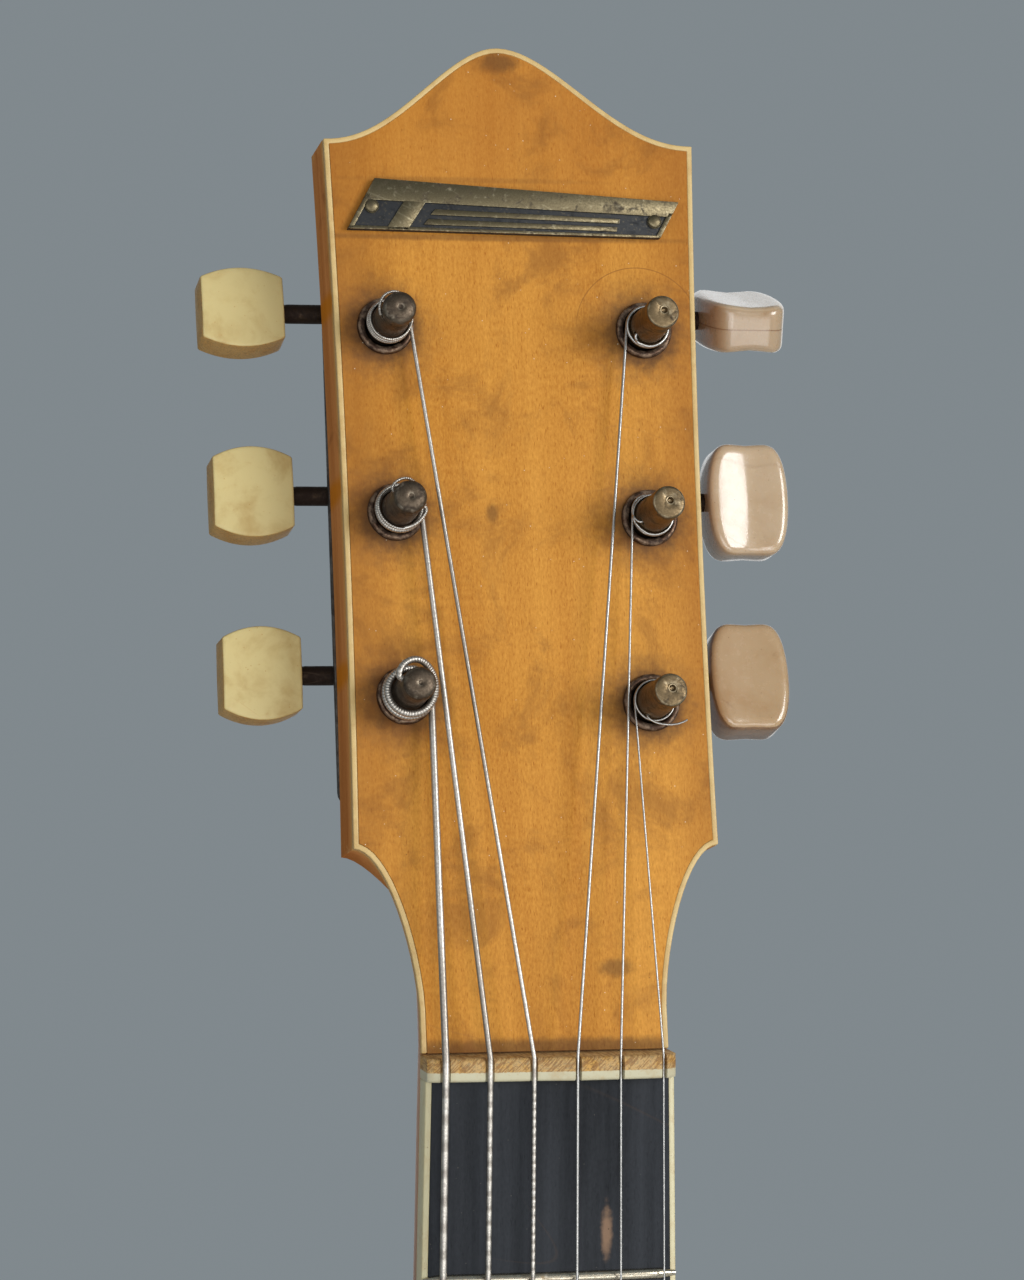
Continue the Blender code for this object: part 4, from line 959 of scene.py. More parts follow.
@dataclass(frozen=True)
class Cast(Finish):
    """Plastic, celluloid or bone, mottled with age, its flanks and edges stained."""

    colour: Triple
    mottle: Triple
    mottling: float
    flank: Triple
    staining: float
    roughness: float = 0.3
    coat: float = 0.0
    wear: float = 0.3
    scale: float = 0.14
    sheen: float = 0.5
    hatch: float = 0.0
    seam: float = 0.0
    glow: float = 0.0

    def paint(self, graph: Graph, shader: bpy.types.Node) -> None:
        """Mottling, stained flanks and edges, specks and hair scratches.

        Args:
            graph: the material's nodes.
            shader: its Principled shader.
        """
        place = graph.place()
        cloud = graph.noise(place, self.scale, 5, 0.6, 0.4)
        colour = graph.mix(graph.band(cloud, 0.42, 0.72, 0.0, self.mottling), self.colour, self.mottle)
        ragged = graph.noise(place, self.scale * 5, 4, 0.7)
        side = graph.band(graph.math("ADD", graph.stored("flank"), graph.spread(ragged, 0.8)), 0.35, 0.6)
        stained = graph.math("MULTIPLY", side, graph.band(cloud, 0.25, 0.6, self.staining, self.staining * 0.7))
        grit = graph.band(graph.noise(place, 2.6, 3, 0.8), 0.46, 0.62, 0.0, 0.75)
        tint = graph.mix(grit, self.flank, tuple(part * 0.3 for part in self.flank))
        colour = graph.mix(stained, colour, tint)
        if self.hatch:
            lines = graph.noise(graph.stretch(place, (4.2, 0.3, 0.5), (0, -0.8, 0)), 1.0, 1, 0.5)
            worked = graph.math("MULTIPLY", graph.band(lines, 0.48, 0.56, 0.0, self.hatch), side)
            colour = graph.mix(worked, colour, (0.2, 0.085, 0.025))
        if self.seam:
            level = graph.math("ABSOLUTE", graph.math("ADD", graph.stored("level"), graph.spread(ragged, 0.25)))
            colour = graph.mix(graph.band(level, 0.06, 0.16, self.seam, 0.0), colour, self.flank)
        grime = graph.effect(Effect.GRIME, vector=place, amount=0.1, scale=self.scale * 2)
        colour = graph.mix(graph.math("MULTIPLY", grime, 0.4), colour, self.flank)
        worn = graph.effect(Effect.EDGE_WEAR, vector=place, amount=self.wear, scale=self.scale * 3)
        colour = graph.mix(graph.math("MULTIPLY", worn, 0.6), colour, self.mottle)
        specks = graph.effect(Effect.SPECKS, vector=place, amount=0.6, scale=0.9, size=0.12)
        colour = graph.mix(specks, colour, self.flank)
        scratch = graph.effect(Effect.SCRATCHES, vector=place, amount=0.5, scale=0.09)
        colour = graph.mix(graph.math("MULTIPLY", scratch, 0.3), colour, self.flank)
        graph.feed(shader.inputs["Base Color"], colour)
        rough = graph.band(ragged, 0.3, 0.7, self.roughness - 0.05, self.roughness + 0.08)
        graph.feed(shader.inputs["Roughness"], graph.math("MULTIPLY_ADD", stained, 0.25, rough))
        shader.inputs["Specular IOR Level"].default_value = self.sheen
        shader.inputs["Coat Weight"].default_value = self.coat
        shader.inputs["Coat Roughness"].default_value = 0.1
        shader.inputs["Subsurface Weight"].default_value = self.glow
        shader.inputs["Subsurface Radius"].default_value = (1.0, 0.6, 0.3)
        shader.inputs["Subsurface Scale"].default_value = 1.5 * MM
        wavy = graph.bump(cloud, 0.12, 0.3)
        graph.feed(shader.inputs["Normal"], graph.bump(scratch, -0.05, 0.5, wavy))


TILT = math.degrees(HEAD_TILT + NECK_PITCH)
HEAD_PLACE = {"turn": TILT, "centre": tuple(HEAD.translation)}
NECK_PLACE = {"turn": math.degrees(NECK_PITCH), "centre": tuple(NECK.translation)}
FACE_STAINS_AND_SHADE = (
    # Painted shade: the face is made darker towards its crown and along both side edges, where less light falls.
    StainOrShade((0, 0, 190), (60, 60, 26), (0.36, 0.12, 0.015), 0.5, 0.3),
    StainOrShade((-36, 0, 105), (8, 60, 90), (0.25, 0.08, 0.01), 0.55, 0.5),
    StainOrShade((37, 0, 105), (8, 60, 90), (0.25, 0.08, 0.01), 0.4, 0.5),
    # Painted shadow and shade: a soft dark halo set off to the lower left of each ferrule, where the post's shadow
    # falls, and a darker ring close round the ferrule.
    *(StainOrShade((x - 1.4, 0, z - 0.6), (6.6, 20, 6.2), (0.17, 0.07, 0.022), 0.6, 1.5) for x, z in POST_PLACES),
    *(StainOrShade((x - 0.3, 0, z - 0.5), (4.5, 20, 4.4), strength=0.95, ragged=1.0) for x, z in POST_PLACES),
    StainOrShade((-4, 0, 149.5), (26, 20, 0.45), strength=0.45, ragged=0.9),
    StainOrShade((-8, 0, 160.4), (16, 20, 0.4), strength=0.2, ragged=0.9),
    StainOrShade((-1.5, 0, 183), (2.6, 20, 1.4), strength=0.6, ragged=2.0),
    StainOrShade((13.5, 0, 15), (2.2, 20, 1.2), strength=0.5, ragged=2.0),
    # Painted shade: a dark line along the foot of the face, in the seam where it meets the nut.
    StainOrShade((0, 0, 1), (30, 20, 1.1), strength=0.6, ragged=1.5),
    StainOrShade((-6, 0, 98), (0.8, 20, 1.2), strength=0.5, ragged=1.0),
)
WALL_STAINS = (
    StainOrShade((0, 1.6, 100), (60, 0.85, 200), (0.55, 0.31, 0.1), 0.7, 0.1),
    *(StainOrShade((-33.5, 9, z + SHAFT_ABOVE_POST - 2), (4, 9, 1.7), (0.5, 0.16, 0.005), 0.75, 0.4) for x, z in POST_PLACES[:3]),
)
VENEER = Wood(
    "amber_veneer", "amber_veneer", (0.36, 0.12, 0.008), (0.71, 0.335, 0.055), **HEAD_PLACE, streaks=0.35, flecks=0.55,
    roughness=0.42, sheen=0.15, coat=0.03, wear_colour=(0.25, 0.11, 0.04), wear=0, dirt=(0.2, 0.07, 0.012),
    grime=0.5, dust=0.9, stains_and_shade=FACE_STAINS_AND_SHADE, ring=(23.0, 132.5, 11.8)
)  # fmt: skip
SIDE_WOOD = Wood(
    "headstock_side", "maple", (0.38, 0.13, 0.035), (0.62, 0.26, 0.085), **HEAD_PLACE, flecks=0.25, roughness=0.6,
    sheen=0.0, coat=0.0, wear_colour=(0.6, 0.33, 0.13), grime=0.2, dirt=(0.14, 0.05, 0.02), stains_and_shade=WALL_STAINS
)  # fmt: skip
NECK_WOOD = Wood(
    "neck_maple", "maple", (0.26, 0.09, 0.026), (0.46, 0.19, 0.06), **NECK_PLACE, flecks=0.3, wear_colour=(0.5, 0.27, 0.1)
)
GLOSS = {"flecks": 0.15, "roughness": 0.3, "coat": 0.5, "wear_colour": (0.5, 0.3, 0.12), "wear": 0.3}
SPRUCE = Wood(
    "burst_spruce", "spruce", (0.5, 0.2, 0.04), (0.74, 0.38, 0.1), streaks=0.8, burst=(0.045, 0.014, 0.006), **GLOSS
)
BACK_MAPLE = Wood(
    "burst_maple", "maple", (0.3, 0.1, 0.02), (0.62, 0.27, 0.06), streaks=0.5, burst=(0.04, 0.012, 0.006), flame=0.6, **GLOSS
)
RIM_MAPLE = Wood(
    "rim_maple", "maple", (0.2, 0.06, 0.014), (0.42, 0.16, 0.035), streaks=0.5, burst=(0.04, 0.012, 0.006), flame=0.5, **GLOSS
)
BARE_SPRUCE = Wood(
    "bare_spruce", "inner_spruce", (0.45, 0.3, 0.15), (0.66, 0.5, 0.3), flecks=0.2, roughness=0.75, coat=0, grime=0.3
)
BOARD_WOOD = Wood(
    "ebonised_board", "rosewood", (0.008, 0.009, 0.011), (0.034, 0.037, 0.043), **NECK_PLACE, flecks=0.3, roughness=0.5,
    sheen=0.1, coat=0, wear_colour=(0.1, 0.06, 0.035), wear=0, dirt=(0.012, 0.009, 0.008), dust=0.1,
    stains_and_shade=(StainOrShade((10.2, 0, -27.5), (0.7, 20, 3.0), (0.26, 0.16, 0.1), 0.9, 1.8),)
)  # fmt: skip
ROSEWOOD = Wood(
    "rosewood", "rosewood", (0.03, 0.012, 0.007), (0.14, 0.055, 0.028), flecks=0.5, coat=0.2, wear_colour=(0.2, 0.1, 0.05)
)
HEAD_BINDING = Cast(
    "head_binding", "cream_binding", (0.6, 0.42, 0.17), (0.46, 0.27, 0.08), 0.6, (0.5, 0.27, 0.08), 0.85, 0.42, wear=0.3, scale=0.25
)
BINDING = Cast(
    "cream_binding", "cream_binding", (0.56, 0.5, 0.3), (0.42, 0.28, 0.12), 0.4, (0.2, 0.1, 0.04), 0.3, 0.42, wear=0.35, scale=0.3
)
BONE = Cast("bone", "bone", (0.52, 0.48, 0.33), (0.42, 0.27, 0.11), 0.35, (0.52, 0.28, 0.07), 1.0, 0.45, scale=0.4, hatch=0.6, sheen=0.25)
CREAM = Cast(
    "cream_button", "cream_button", (0.62, 0.5, 0.23), (0.42, 0.26, 0.08), 0.6, (0.44, 0.2, 0.035), 0.95, 0.36, 0.03, 0.15,
    glow=0.08, sheen=0.2
)  # fmt: skip
CARAMEL = Cast(
    "caramel_button", "caramel_button", (0.5, 0.37, 0.235), (0.4, 0.25, 0.125), 0.6, (0.17, 0.07, 0.018), 0.35, 0.22, 0.8,
    0.15, 0.12, seam=0.7, glow=0.12
)  # fmt: skip
TAN = replace(CARAMEL, name="tan_button", colour=(0.44, 0.3, 0.165), mottle=(0.36, 0.21, 0.09), staining=1.0)
BLACK = Cast(
    "black_plastic", "black_plastic", (0.012, 0.01, 0.01), (0.03, 0.018, 0.012), 0.5, (0.05, 0.035, 0.025), 0.3, 0.22, 0.4, 0.4
)
PEARL = Cast("pearl", "bone", (0.6, 0.58, 0.52), (0.75, 0.7, 0.62), 0.8, (0.3, 0.25, 0.2), 0.1, 0.2, 0.4, 0.1, 0.3)
STEEL, NICKELLED, WIRE = "dark_steel", "aged_nickel", "plain_wire"
RUSTY_STEEL = Metal("rusty_steel", STEEL, (0.055, 0.038, 0.026), (0.022, 0.011, 0.006), 0.9, 0.5, (0.13, 0.09, 0.06), 0.4, 0.42)
DARK_COLLAR = Metal("dark_collar", STEEL, (0.1, 0.06, 0.042), (0.035, 0.018, 0.011), 0.7, 0.42, (0.22, 0.15, 0.1), 0.5, 0.4)
LEFT_POST = Metal("left_post", STEEL, (0.12, 0.092, 0.066), (0.038, 0.025, 0.016), 0.5, 0.46, (0.24, 0.2, 0.15), 0.5, 0.38)
RIGHT_POST = Metal("right_post", NICKELLED, (0.21, 0.15, 0.082), (0.06, 0.04, 0.02), 0.45, 0.42, (0.34, 0.27, 0.17), 0.5, 0.38)
NICKEL = Metal("aged_nickel", NICKELLED, (0.5, 0.46, 0.4), (0.16, 0.12, 0.08), 0.3, 0.32, (0.7, 0.66, 0.6), 0.4, 0.16)
TUNER_METAL = Metal("tuner_metal", NICKELLED, (0.1, 0.088, 0.075), (0.03, 0.023, 0.018), 0.5, 0.42, (0.25, 0.22, 0.18), 0.2, 0.16)
FRET_METAL = Metal("fret_metal", NICKELLED, (0.6, 0.55, 0.44), (0.25, 0.18, 0.1), 0.2, 0.25, (0.8, 0.75, 0.65), 0.4)
BRASS = Metal("brass", "brass", (0.58, 0.42, 0.18), (0.2, 0.12, 0.05), 0.4, 0.32, (0.75, 0.6, 0.34), 0.5, 0.26)
PLAIN_WIRE = Metal("plain_wire", WIRE, (0.5, 0.49, 0.47), (0.2, 0.19, 0.17), 0.0, 0.34, (0.6, 0.6, 0.6), 0.0, 0.4)
WOUND_WIRES = tuple(
    Metal(f"wound_wire_{number}", "wound_wire", (0.63, 0.59, 0.53), (0.21, 0.18, 0.15), 0.0, 0.42, (0.7, 0.7, 0.7), 0.0, 0.4, pitch)
    for number, pitch in enumerate((0.5, 0.42, 0.34))
)
PLATE_METAL = Metal(
    "nameplate", "brass", (0.19, 0.155, 0.09), (0.06, 0.045, 0.027), 0.4, 0.42, (0.36, 0.31, 0.2), 0.45, 0.5, recess=1.34
)


# Sub-assemblies


@dataclass
class Headstock:
    """The headstock's wood, amber face and the cream line round it."""

    neck_half: float = 22.6
    low_half: float = 33.6
    waist_half: float = 33.4
    high_half: float = 34.8
    shoulder_z: float = 8
    low_z: float = 37
    high_z: float = 167.8
    length: float = 185.8
    crown_x: float = -1.6
    crown_lean: float = 1.15
    undercut: float = 4.5
    veneer_thick: float = 1.5
    binding: float = 1.0

    def outline(self) -> list[Flat]:
        """Draws the face from the treble side of the nut, round the crown, to the bass side.

        Returns:
            (x, z) points.
        """
        sag = (self.low_half + self.high_half) / 2 - self.waist_half
        halves = []
        for side in (1, -1):
            half = [(side * self.neck_half, 0.0)]
            for step in range(15):
                a = math.pi / 2 * step / 14
                out = self.neck_half + (self.low_half - self.neck_half) * (1 - math.cos(a)) ** 0.8
                half.append((side * out, self.shoulder_z + (self.low_z - self.shoulder_z) * math.sin(a)))
            for step in range(1, 16):
                u = step / 16
                out = self.low_half * (1 - u) + self.high_half * u - 4 * sag * u * (1 - u)
                half.append((side * out, self.low_z + (self.high_z - self.low_z) * u))
            for step in range(24):
                u = step / 24
                rise = (self.length - self.high_z) * smoothstep(u**self.crown_lean)
                half.append((side * self.high_half * (1 - u) + self.crown_x * u, self.high_z + rise))
            halves.append(half)
        return halves[0] + [(self.crown_x, self.length)] + halves[1][::-1]

    def inner_line(self, play: float = 0.0) -> list[Flat]:
        """The edge of the face inside its binding, still reaching down to the nut."""
        return [(x, GAP if z < 2 * self.binding else z) for x, z in offset(self.outline(), self.binding + play)]

    def bores(self, radius: float) -> Thing:
        """Makes a cutter for the six holes.

        Args:
            radius: their radius.

        Returns:
            The cutter.
        """
        hole = turned("post_hole", ((radius, -3), (radius, 20)))
        holes = [twin(hole, f"hole_{i}", Matrix.Translation((x, 0, z))) for i, (x, z) in enumerate(POST_PLACES)]
        drop(hole)
        return joined("holes", holes)

    def build_core(self) -> None:
        """The wood behind the face, undercut below the shoulders and bored for the posts."""
        line = self.outline()
        rings = []
        for depth, inset in ((1.52, 0.0), (3, 0.0), (8, 0.0), (12.6, 0.0), (14, 0.35), (14.7, 0.9), (HEAD_THICK, 1.7)):
            reach = max((depth - 1.8) / (HEAD_THICK - 1.8) * self.undercut, 0)
            ring = []
            for (x, z), (near_x, near_z) in zip(line, offset(line, inset)):
                fade = min(max(self.low_z - z, 0) / self.shoulder_z, 1)
                ring.append((near_x - math.copysign(reach * fade, x), depth, max(near_z, GAP)))
            rings.append(ring)
        core = cut(skin("headstock_core", rings), self.bores(4.03))
        show(core, SIDE_WOOD, HEAD, smooth=30)

    def build_veneer(self) -> None:
        """The amber face, with a hole for each ferrule."""
        veneer = cut(slab("amber_face", self.inner_line(0.02), 0, self.veneer_thick), self.bores(4.05))
        show(veneer, VENEER, HEAD, stands_for=["headstock_veneer"])

    def build_binding(self) -> None:
        """The line round the face, open at the nut."""
        outer = self.outline()
        rings = []
        for (x, z), (u, v) in zip(outer, self.inner_line()):
            z = max(z, GAP)
            rings.append([(x, 0, z), (x, self.veneer_thick, z), (u, self.veneer_thick, v), (u, 0, v)])
        line = soften(skin("headstock_edging", rings), 0.25, 3, 50)
        mark(line, "flank", lambda co: smoothstep(co.y / 0.5))
        show(line, HEAD_BINDING, HEAD, stands_for=["headstock_binding"], smooth=50)

    def build(self) -> None:
        """The whole headstock."""
        self.build_core()
        self.build_veneer()
        self.build_binding()


@dataclass
class Badge:
    """The slanted metal plate: bare, with a raised rim, a plain strip and ribs in its dark recess."""

    corners: tuple[Flat, ...] = ((-25.8, 160.1), (31.4, 156.6), (27.6, 149.7), (-31.1, 150.5))
    pins: tuple[Flat, ...] = ((-26.5, 154.8), (26.6, 152.8))
    thick: float = 1.2
    bars: tuple[tuple[float, ...], ...] = (
        (0.0, 1.0, 0.0, 1.0, 0.0, 0.42),
        (0.0, 1.0, 0.0, 1.0, 0.93, 1.0),
        (0.0, 0.016, 0.0, 0.016, 0.3, 1.0),
        (0.984, 1.0, 0.984, 1.0, 0.3, 1.0),
        (0.13, 0.2, 0.12, 0.19, 0.4, 1.0),
        (0.24, 0.84, 0.235, 0.845, 0.54, 0.66),
        (0.235, 0.845, 0.23, 0.85, 0.75, 0.87),
    )

    def spot(self, across: float, down: float) -> Flat:
        """A point of the plate by its shares across and down."""
        a, b, c, d = (Vector(corner) for corner in self.corners)
        return tuple((a * (1 - across) + b * across) * (1 - down) + (d * (1 - across) + c * across) * down)

    def build(self) -> None:
        """The whole plate with its pins."""
        front = -GAP - self.thick
        floor = front + 0.38
        whole = [self.spot(*share) for share in ((0, 0), (1, 0), (1, 1), (0, 1))]
        parts = [soften(slab("blank_plate", whole, -0.02, floor), 0.15, 2)]
        for number, (left, right, low_left, low_right, top, bottom) in enumerate(self.bars):
            spans = ((left, top), (right, top), (low_right, bottom), (low_left, bottom))
            bar = slab(f"bar_{number}", [self.spot(*span) for span in spans], front, floor + 0.1)
            parts.append(soften(bar, 0.12, 2))
        dome = [(1.25 * math.cos(a), front - 0.45 * math.sin(a)) for a in (0.0, 0.3, 0.6, 0.9, 1.2, 1.45)]
        pin = turned("pin", [(1.3, floor + 0.1), (1.3, front), *dome, (0, front - 0.45)], 24)
        for number, (x, z) in enumerate(self.pins):
            parts.append(twin(pin, f"pin_{number}", Matrix.Translation((x, 0, z))))
        drop(pin)
        show(joined("blank_nameplate", parts), PLATE_METAL, HEAD, stands_for=["nameplate"])


@dataclass
class Tuners:
    """Six worm-drive tuners on two plates: ferrules, posts with their wheels, shafts and buttons."""

    post_height: float = 15
    worm_pitch: float = 2.4
    button_reach: float = 15.7
    plate_front: float = 15.02
    plate_back: float = 16.5
    button_sizes: tuple[Triple, ...] = (
        (14.6, 8.7, 4.3), (14.9, 8.6, 4.3), (15.4, 7.8, 4.3), (15.8, 10.9, 4.8), (15.7, 10.9, 4.8), (15.3, 10.6, 4.8),
    )  # fmt: skip
    dishes: tuple[float, ...] = (0, 0, 0, 0.13, 0.2, 0.08)
    rolled: dict[str, float] = field(default_factory=lambda: {"a": 3, "d": 7, "g": 113, "high_e": -8})

    def post_matrix(self, string: int) -> Matrix:
        """A post's frame: y runs in along its axis."""
        x, z = POST_PLACES[string]
        return HEAD @ Matrix.Translation((x, 0, z))

    def worm_matrix(self, string: int) -> Matrix:
        """A shaft's frame, in which x runs out to the button.

        Args:
            string: which tuner.

        Returns:
            The frame.
        """
        x, z = POST_PLACES[string]
        turn = Matrix.Rotation(math.pi if string < 3 else 0, 4, "Z")
        return HEAD @ Matrix.Translation((x, SHAFT_DEPTH, z + SHAFT_ABOVE_POST)) @ turn

    def build_ferrules(self) -> None:
        """Dark collars round the posts, dished towards their bores."""
        profile = ((5.25, -0.3), (5.2, -0.7), (4.95, -0.98), (4.6, -1.06), (4.25, -0.98), (4.0, -0.75), (3.85, -0.3))
        profile += ((3.75, 1.5), (3.6, 8), (4, 8), (4, -0.02), (5.25, -0.02), (5.25, -0.3))
        first = turned("ferrule", profile, 48)
        for string, name in enumerate(STRING_NAMES):
            show(twin(first, f"collar_{name}", self.post_matrix(string)), DARK_COLLAR, stands_for=[f"ferrule_{name}"])
        drop(first)

    def wheel_ring(self, height: float, turn: float) -> list[Triple]:
        """Draws twelve rounded teeth round a post's axis.

        Args:
            height: where along the axis.
            turn: how far they are turned.

        Returns:
            Their points.
        """
        points = []
        tooth = ((-0.38, 3.82), (-0.3, 3.86), (-0.16, 4.8), (-0.1, 5.16), (0.1, 5.16), (0.16, 4.8), (0.3, 3.86), (0.38, 3.82))
        for number in range(12):
            for share, radius in tooth:
                a = math.pi / 2 + (number + 0.5 + share) * math.tau / 12 - turn
                points.append((radius * math.cos(a), height, radius * math.sin(a)))
        return points

    def build_posts(self, holes: Sequence[Flat]) -> None:
        """Posts with a punched tip, a hole for the string, and a wheel on a screw behind.

        Args:
            holes: for each string, the angle and height of the hole that its end goes through.
        """
        h = self.post_height
        domed = ((0, 0.3), (0.3, 0.22), (0.5, 0.06), (1.2, 0.05), (2.0, 0.16), (2.6, 0.42), (2.95, 0.85), (3.05, 1.4))
        flat = ((0, 0.62), (0.3, 0.55), (0.5, 0.2), (0.62, 0.05), (0.78, 0.02), (0.95, 0.14), (1.1, 0.1), (2.5, 0.05))
        flat += ((2.8, 0.14), (2.98, 0.36), (3.05, 0.7))
        shank = ((3.05, 6.5), (3.12, 7.8), (3.25, 9.2), (3.3, 12), (3.3, 16.6), (3.0, 17.2), (3.0, 33), (2.6, 33.2))
        shank += ((2.6, 36.6), (2.3, 37.0), (0, 37.1))
        for string, name in enumerate(STRING_NAMES):
            tip = domed if string < 3 else flat
            post = turned(f"tuner_post_{name}", [(r, y - h) for r, y in (*tip, *shank)], 44)
            for vertex in post.data.vertices:
                if string >= 3 and vertex.co.y < 1 - h and math.hypot(vertex.co.x, vertex.co.z) < 1:
                    vertex.co.x += 0.25
                    vertex.co.z += 0.3
            angle, height = holes[string]
            way = settle(turned("way", ((0.7, -9), (0.7, 9)), 16, "X"), Matrix.Rotation(-angle, 4, "Y"))
            cut(post, settle(way, Matrix.Translation((0, -height, 0))))
            lean = 0.0873
            wheel = soften(skin("wheel", [self.wheel_ring(18.6, -lean), self.wheel_ring(21.2, lean)]), 0.15, 1, 50)
            screw = turned("screw", [(0, 22.6), (1.3, 22.55), (1.9, 22.2), (2.0, 21.9), (0, 21.9)], 24)
            cut(screw, block("slot", (-3, 22.25, -0.25), (3, 24, 0.25)))
            place, body = self.post_matrix(string), f"post_{name}"
            show(post, LEFT_POST if string < 3 else RIGHT_POST, place, body, [f"string_post_{name}"])
            show(wheel, BRASS, place, body).name = f"tuner_wheel_{name}"
            show(screw, NICKEL, place, body).name = f"wheel_screw_{name}"

    def build_shafts(self) -> None:
        """Rusty shafts, each with a worm between its lugs."""
        half = ((1.64, 4.9), (2.9, 5.3), (3.0, 5.6), (2.9, 5.9), (1.8, 5.9))
        profile = [(0, -8.1), (1.5, -8.1), (1.8, -7.8), *((r, -x) for r, x in half[::-1]), *half]
        profile += [(1.8, 14.6), (1.72, 15.0), (1.72, 15.6), (1.7, 22), (0, 22)]
        section = ((-0.75, 1.3), (-0.32, 2.6), (-0.12, 3.0), (0.12, 3.0), (0.32, 2.6), (0.75, 1.3))
        rings = []
        for step in range(69):
            t = step / 20 - 1.7
            a = math.tau * t - math.pi / 2
            rings.append([(self.worm_pitch * t + dx, r * math.cos(a), r * math.sin(a)) for dx, r in section])
        first = joined("shaft", [turned("shaft", profile, 32, "X"), skin("worm_thread", rings)])
        for string, name in enumerate(STRING_NAMES):
            copy = twin(first, f"shaft_{name}", self.worm_matrix(string))
            show(copy, RUSTY_STEEL, UPRIGHT, f"knob_{name}", [f"worm_shaft_{name}"])
        drop(first)

    def half_thick(self, string: int, x: float, z: float) -> float:
        """Half a button's thickness: domed, or dished across.

        Args:
            string: which tuner.
            x: along its shaft.
            z: across it.

        Returns:
            The half thickness there.
        """
        length, wide, thick = self.button_sizes[string]
        across = (x - self.button_reach) / length - 0.5
        if string < 3:
            return thick * (1 - 0.06 * (2 * across) ** 2 - 0.16 * (z / wide) ** 2)
        return thick * (0.98 - self.dishes[string] * math.exp(-(((across - 0.03) / 0.26) ** 2)))

    def pebble(self, string: int, outline: Sequence[Flat], edge: float) -> Thing:
        """A button: an outline with rounded edges and shaped faces.

        Args:
            string: which tuner.
            outline: (x, z) points of its widest outline.
            edge: the radius of its edges.

        Returns:
            The object, with "flank" 1 on its sides and 0 on its faces, and its height in "level".
        """
        inner = offset(outline, edge)
        middle = sum((Vector(p) for p in inner), Vector((0, 0))) / len(inner)
        side = []
        for scale in (0.06, 0.3, 0.55, 0.8, 0.93):
            side.append([(*(middle + (Vector(p) - middle) * scale), 0.0) for p in inner])
        for step in range(5):
            a = math.pi / 2 * (1 - step / 4)
            side.append([(x, z, edge * (1 - math.sin(a))) for x, z in offset(outline, edge * (1 - math.cos(a)))])
        rings = [[(x, self.half_thick(string, x, z) - low, z) for x, z, low in ring] for ring in side]
        obj = skin(f"tuner_button_{STRING_NAMES[string]}", [[(x, -y, z) for x, y, z in ring] for ring in rings] + rings[::-1])
        mark(obj, "flank", lambda co: smoothstep((self.half_thick(string, co.x, co.z) - abs(co.y)) / edge * 1.3))
        mark(obj, "level", lambda co: co.y)
        return obj

    def build_buttons(self) -> None:
        """Three aged cream slabs on the bass side, three larger caramel ones on the treble side."""
        for string, name in enumerate(STRING_NAMES):
            length, wide, _ = self.button_sizes[string]
            if string < 3:
                button = self.pebble(string, self.barrel(length, wide), 0.4)
            else:
                button = self.pebble(string, self.cushion(length, wide), 1.5)
            if name in self.rolled:
                settle(button, Matrix.Rotation(math.radians(self.rolled[name]), 4, "X"))
            finish = CREAM if string < 3 else TAN if name == "high_e" else CARAMEL
            show(button, finish, self.worm_matrix(string), f"knob_{name}", [f"button_{name}"], 60)

    def barrel(self, length: float, wide: float) -> list[Flat]:
        """Draws straight ends with small corners, and bulging long sides.

        Args:
            length: along the shaft.
            wide: half its width.

        Returns:
            (x, z) points.
        """
        start, end = self.button_reach, wide * 0.78
        top = []
        for i in range(17):
            u = i / 16
            top.append((start + 0.3 + (length - 0.6) * u, end + (wide - end) * (1 - (2 * u - 1) ** 2)))
        shares = (0.95, 0.6, 0.2, -0.2, -0.6, -0.95)
        far = [(start + length, end * share) for share in shares]
        return top + far + [(x, -z) for x, z in top[::-1]] + [(start, end * share) for share in shares[::-1]]

    def cushion(self, length: float, wide: float) -> list[Flat]:
        """Draws bulging ends, nearly straight long sides and round corners.

        Args:
            length: along the shaft.
            wide: half its width.

        Returns:
            (x, z) points.
        """
        points = []
        for x, z in oval(length / 2, wide, 0.42, 80, 0.95):
            dip = 0.35 * math.exp(-((x / (length * 0.22)) ** 2)) * abs(z) / wide
            points.append((self.button_reach + length / 2 + x, z - math.copysign(dip, z)))
        return points

    def lug(self, x: float, z: float) -> Thing:
        """Makes a bored ear with a round top.

        Args:
            x: where it starts.
            z: the height of its bore.

        Returns:
            The object.
        """
        outline = [(self.plate_back - 0.4, -3.7), (self.plate_back - 0.4, 3.7)]
        for step in range(10):
            a = math.pi * step / 9
            outline.append((SHAFT_DEPTH + 3.4 * math.sin(a), 3.7 * math.cos(a)))
        lug = soften(skin("lug", [[(px, y, z + v) for y, v in outline] for px in (x, x + 1.3)]), 0.2, 2)
        bore = turned("bore", ((2.12, -2), (2.12, 4)), 24, "X")
        return cut(lug, settle(bore, Matrix.Translation((x, SHAFT_DEPTH, z))))

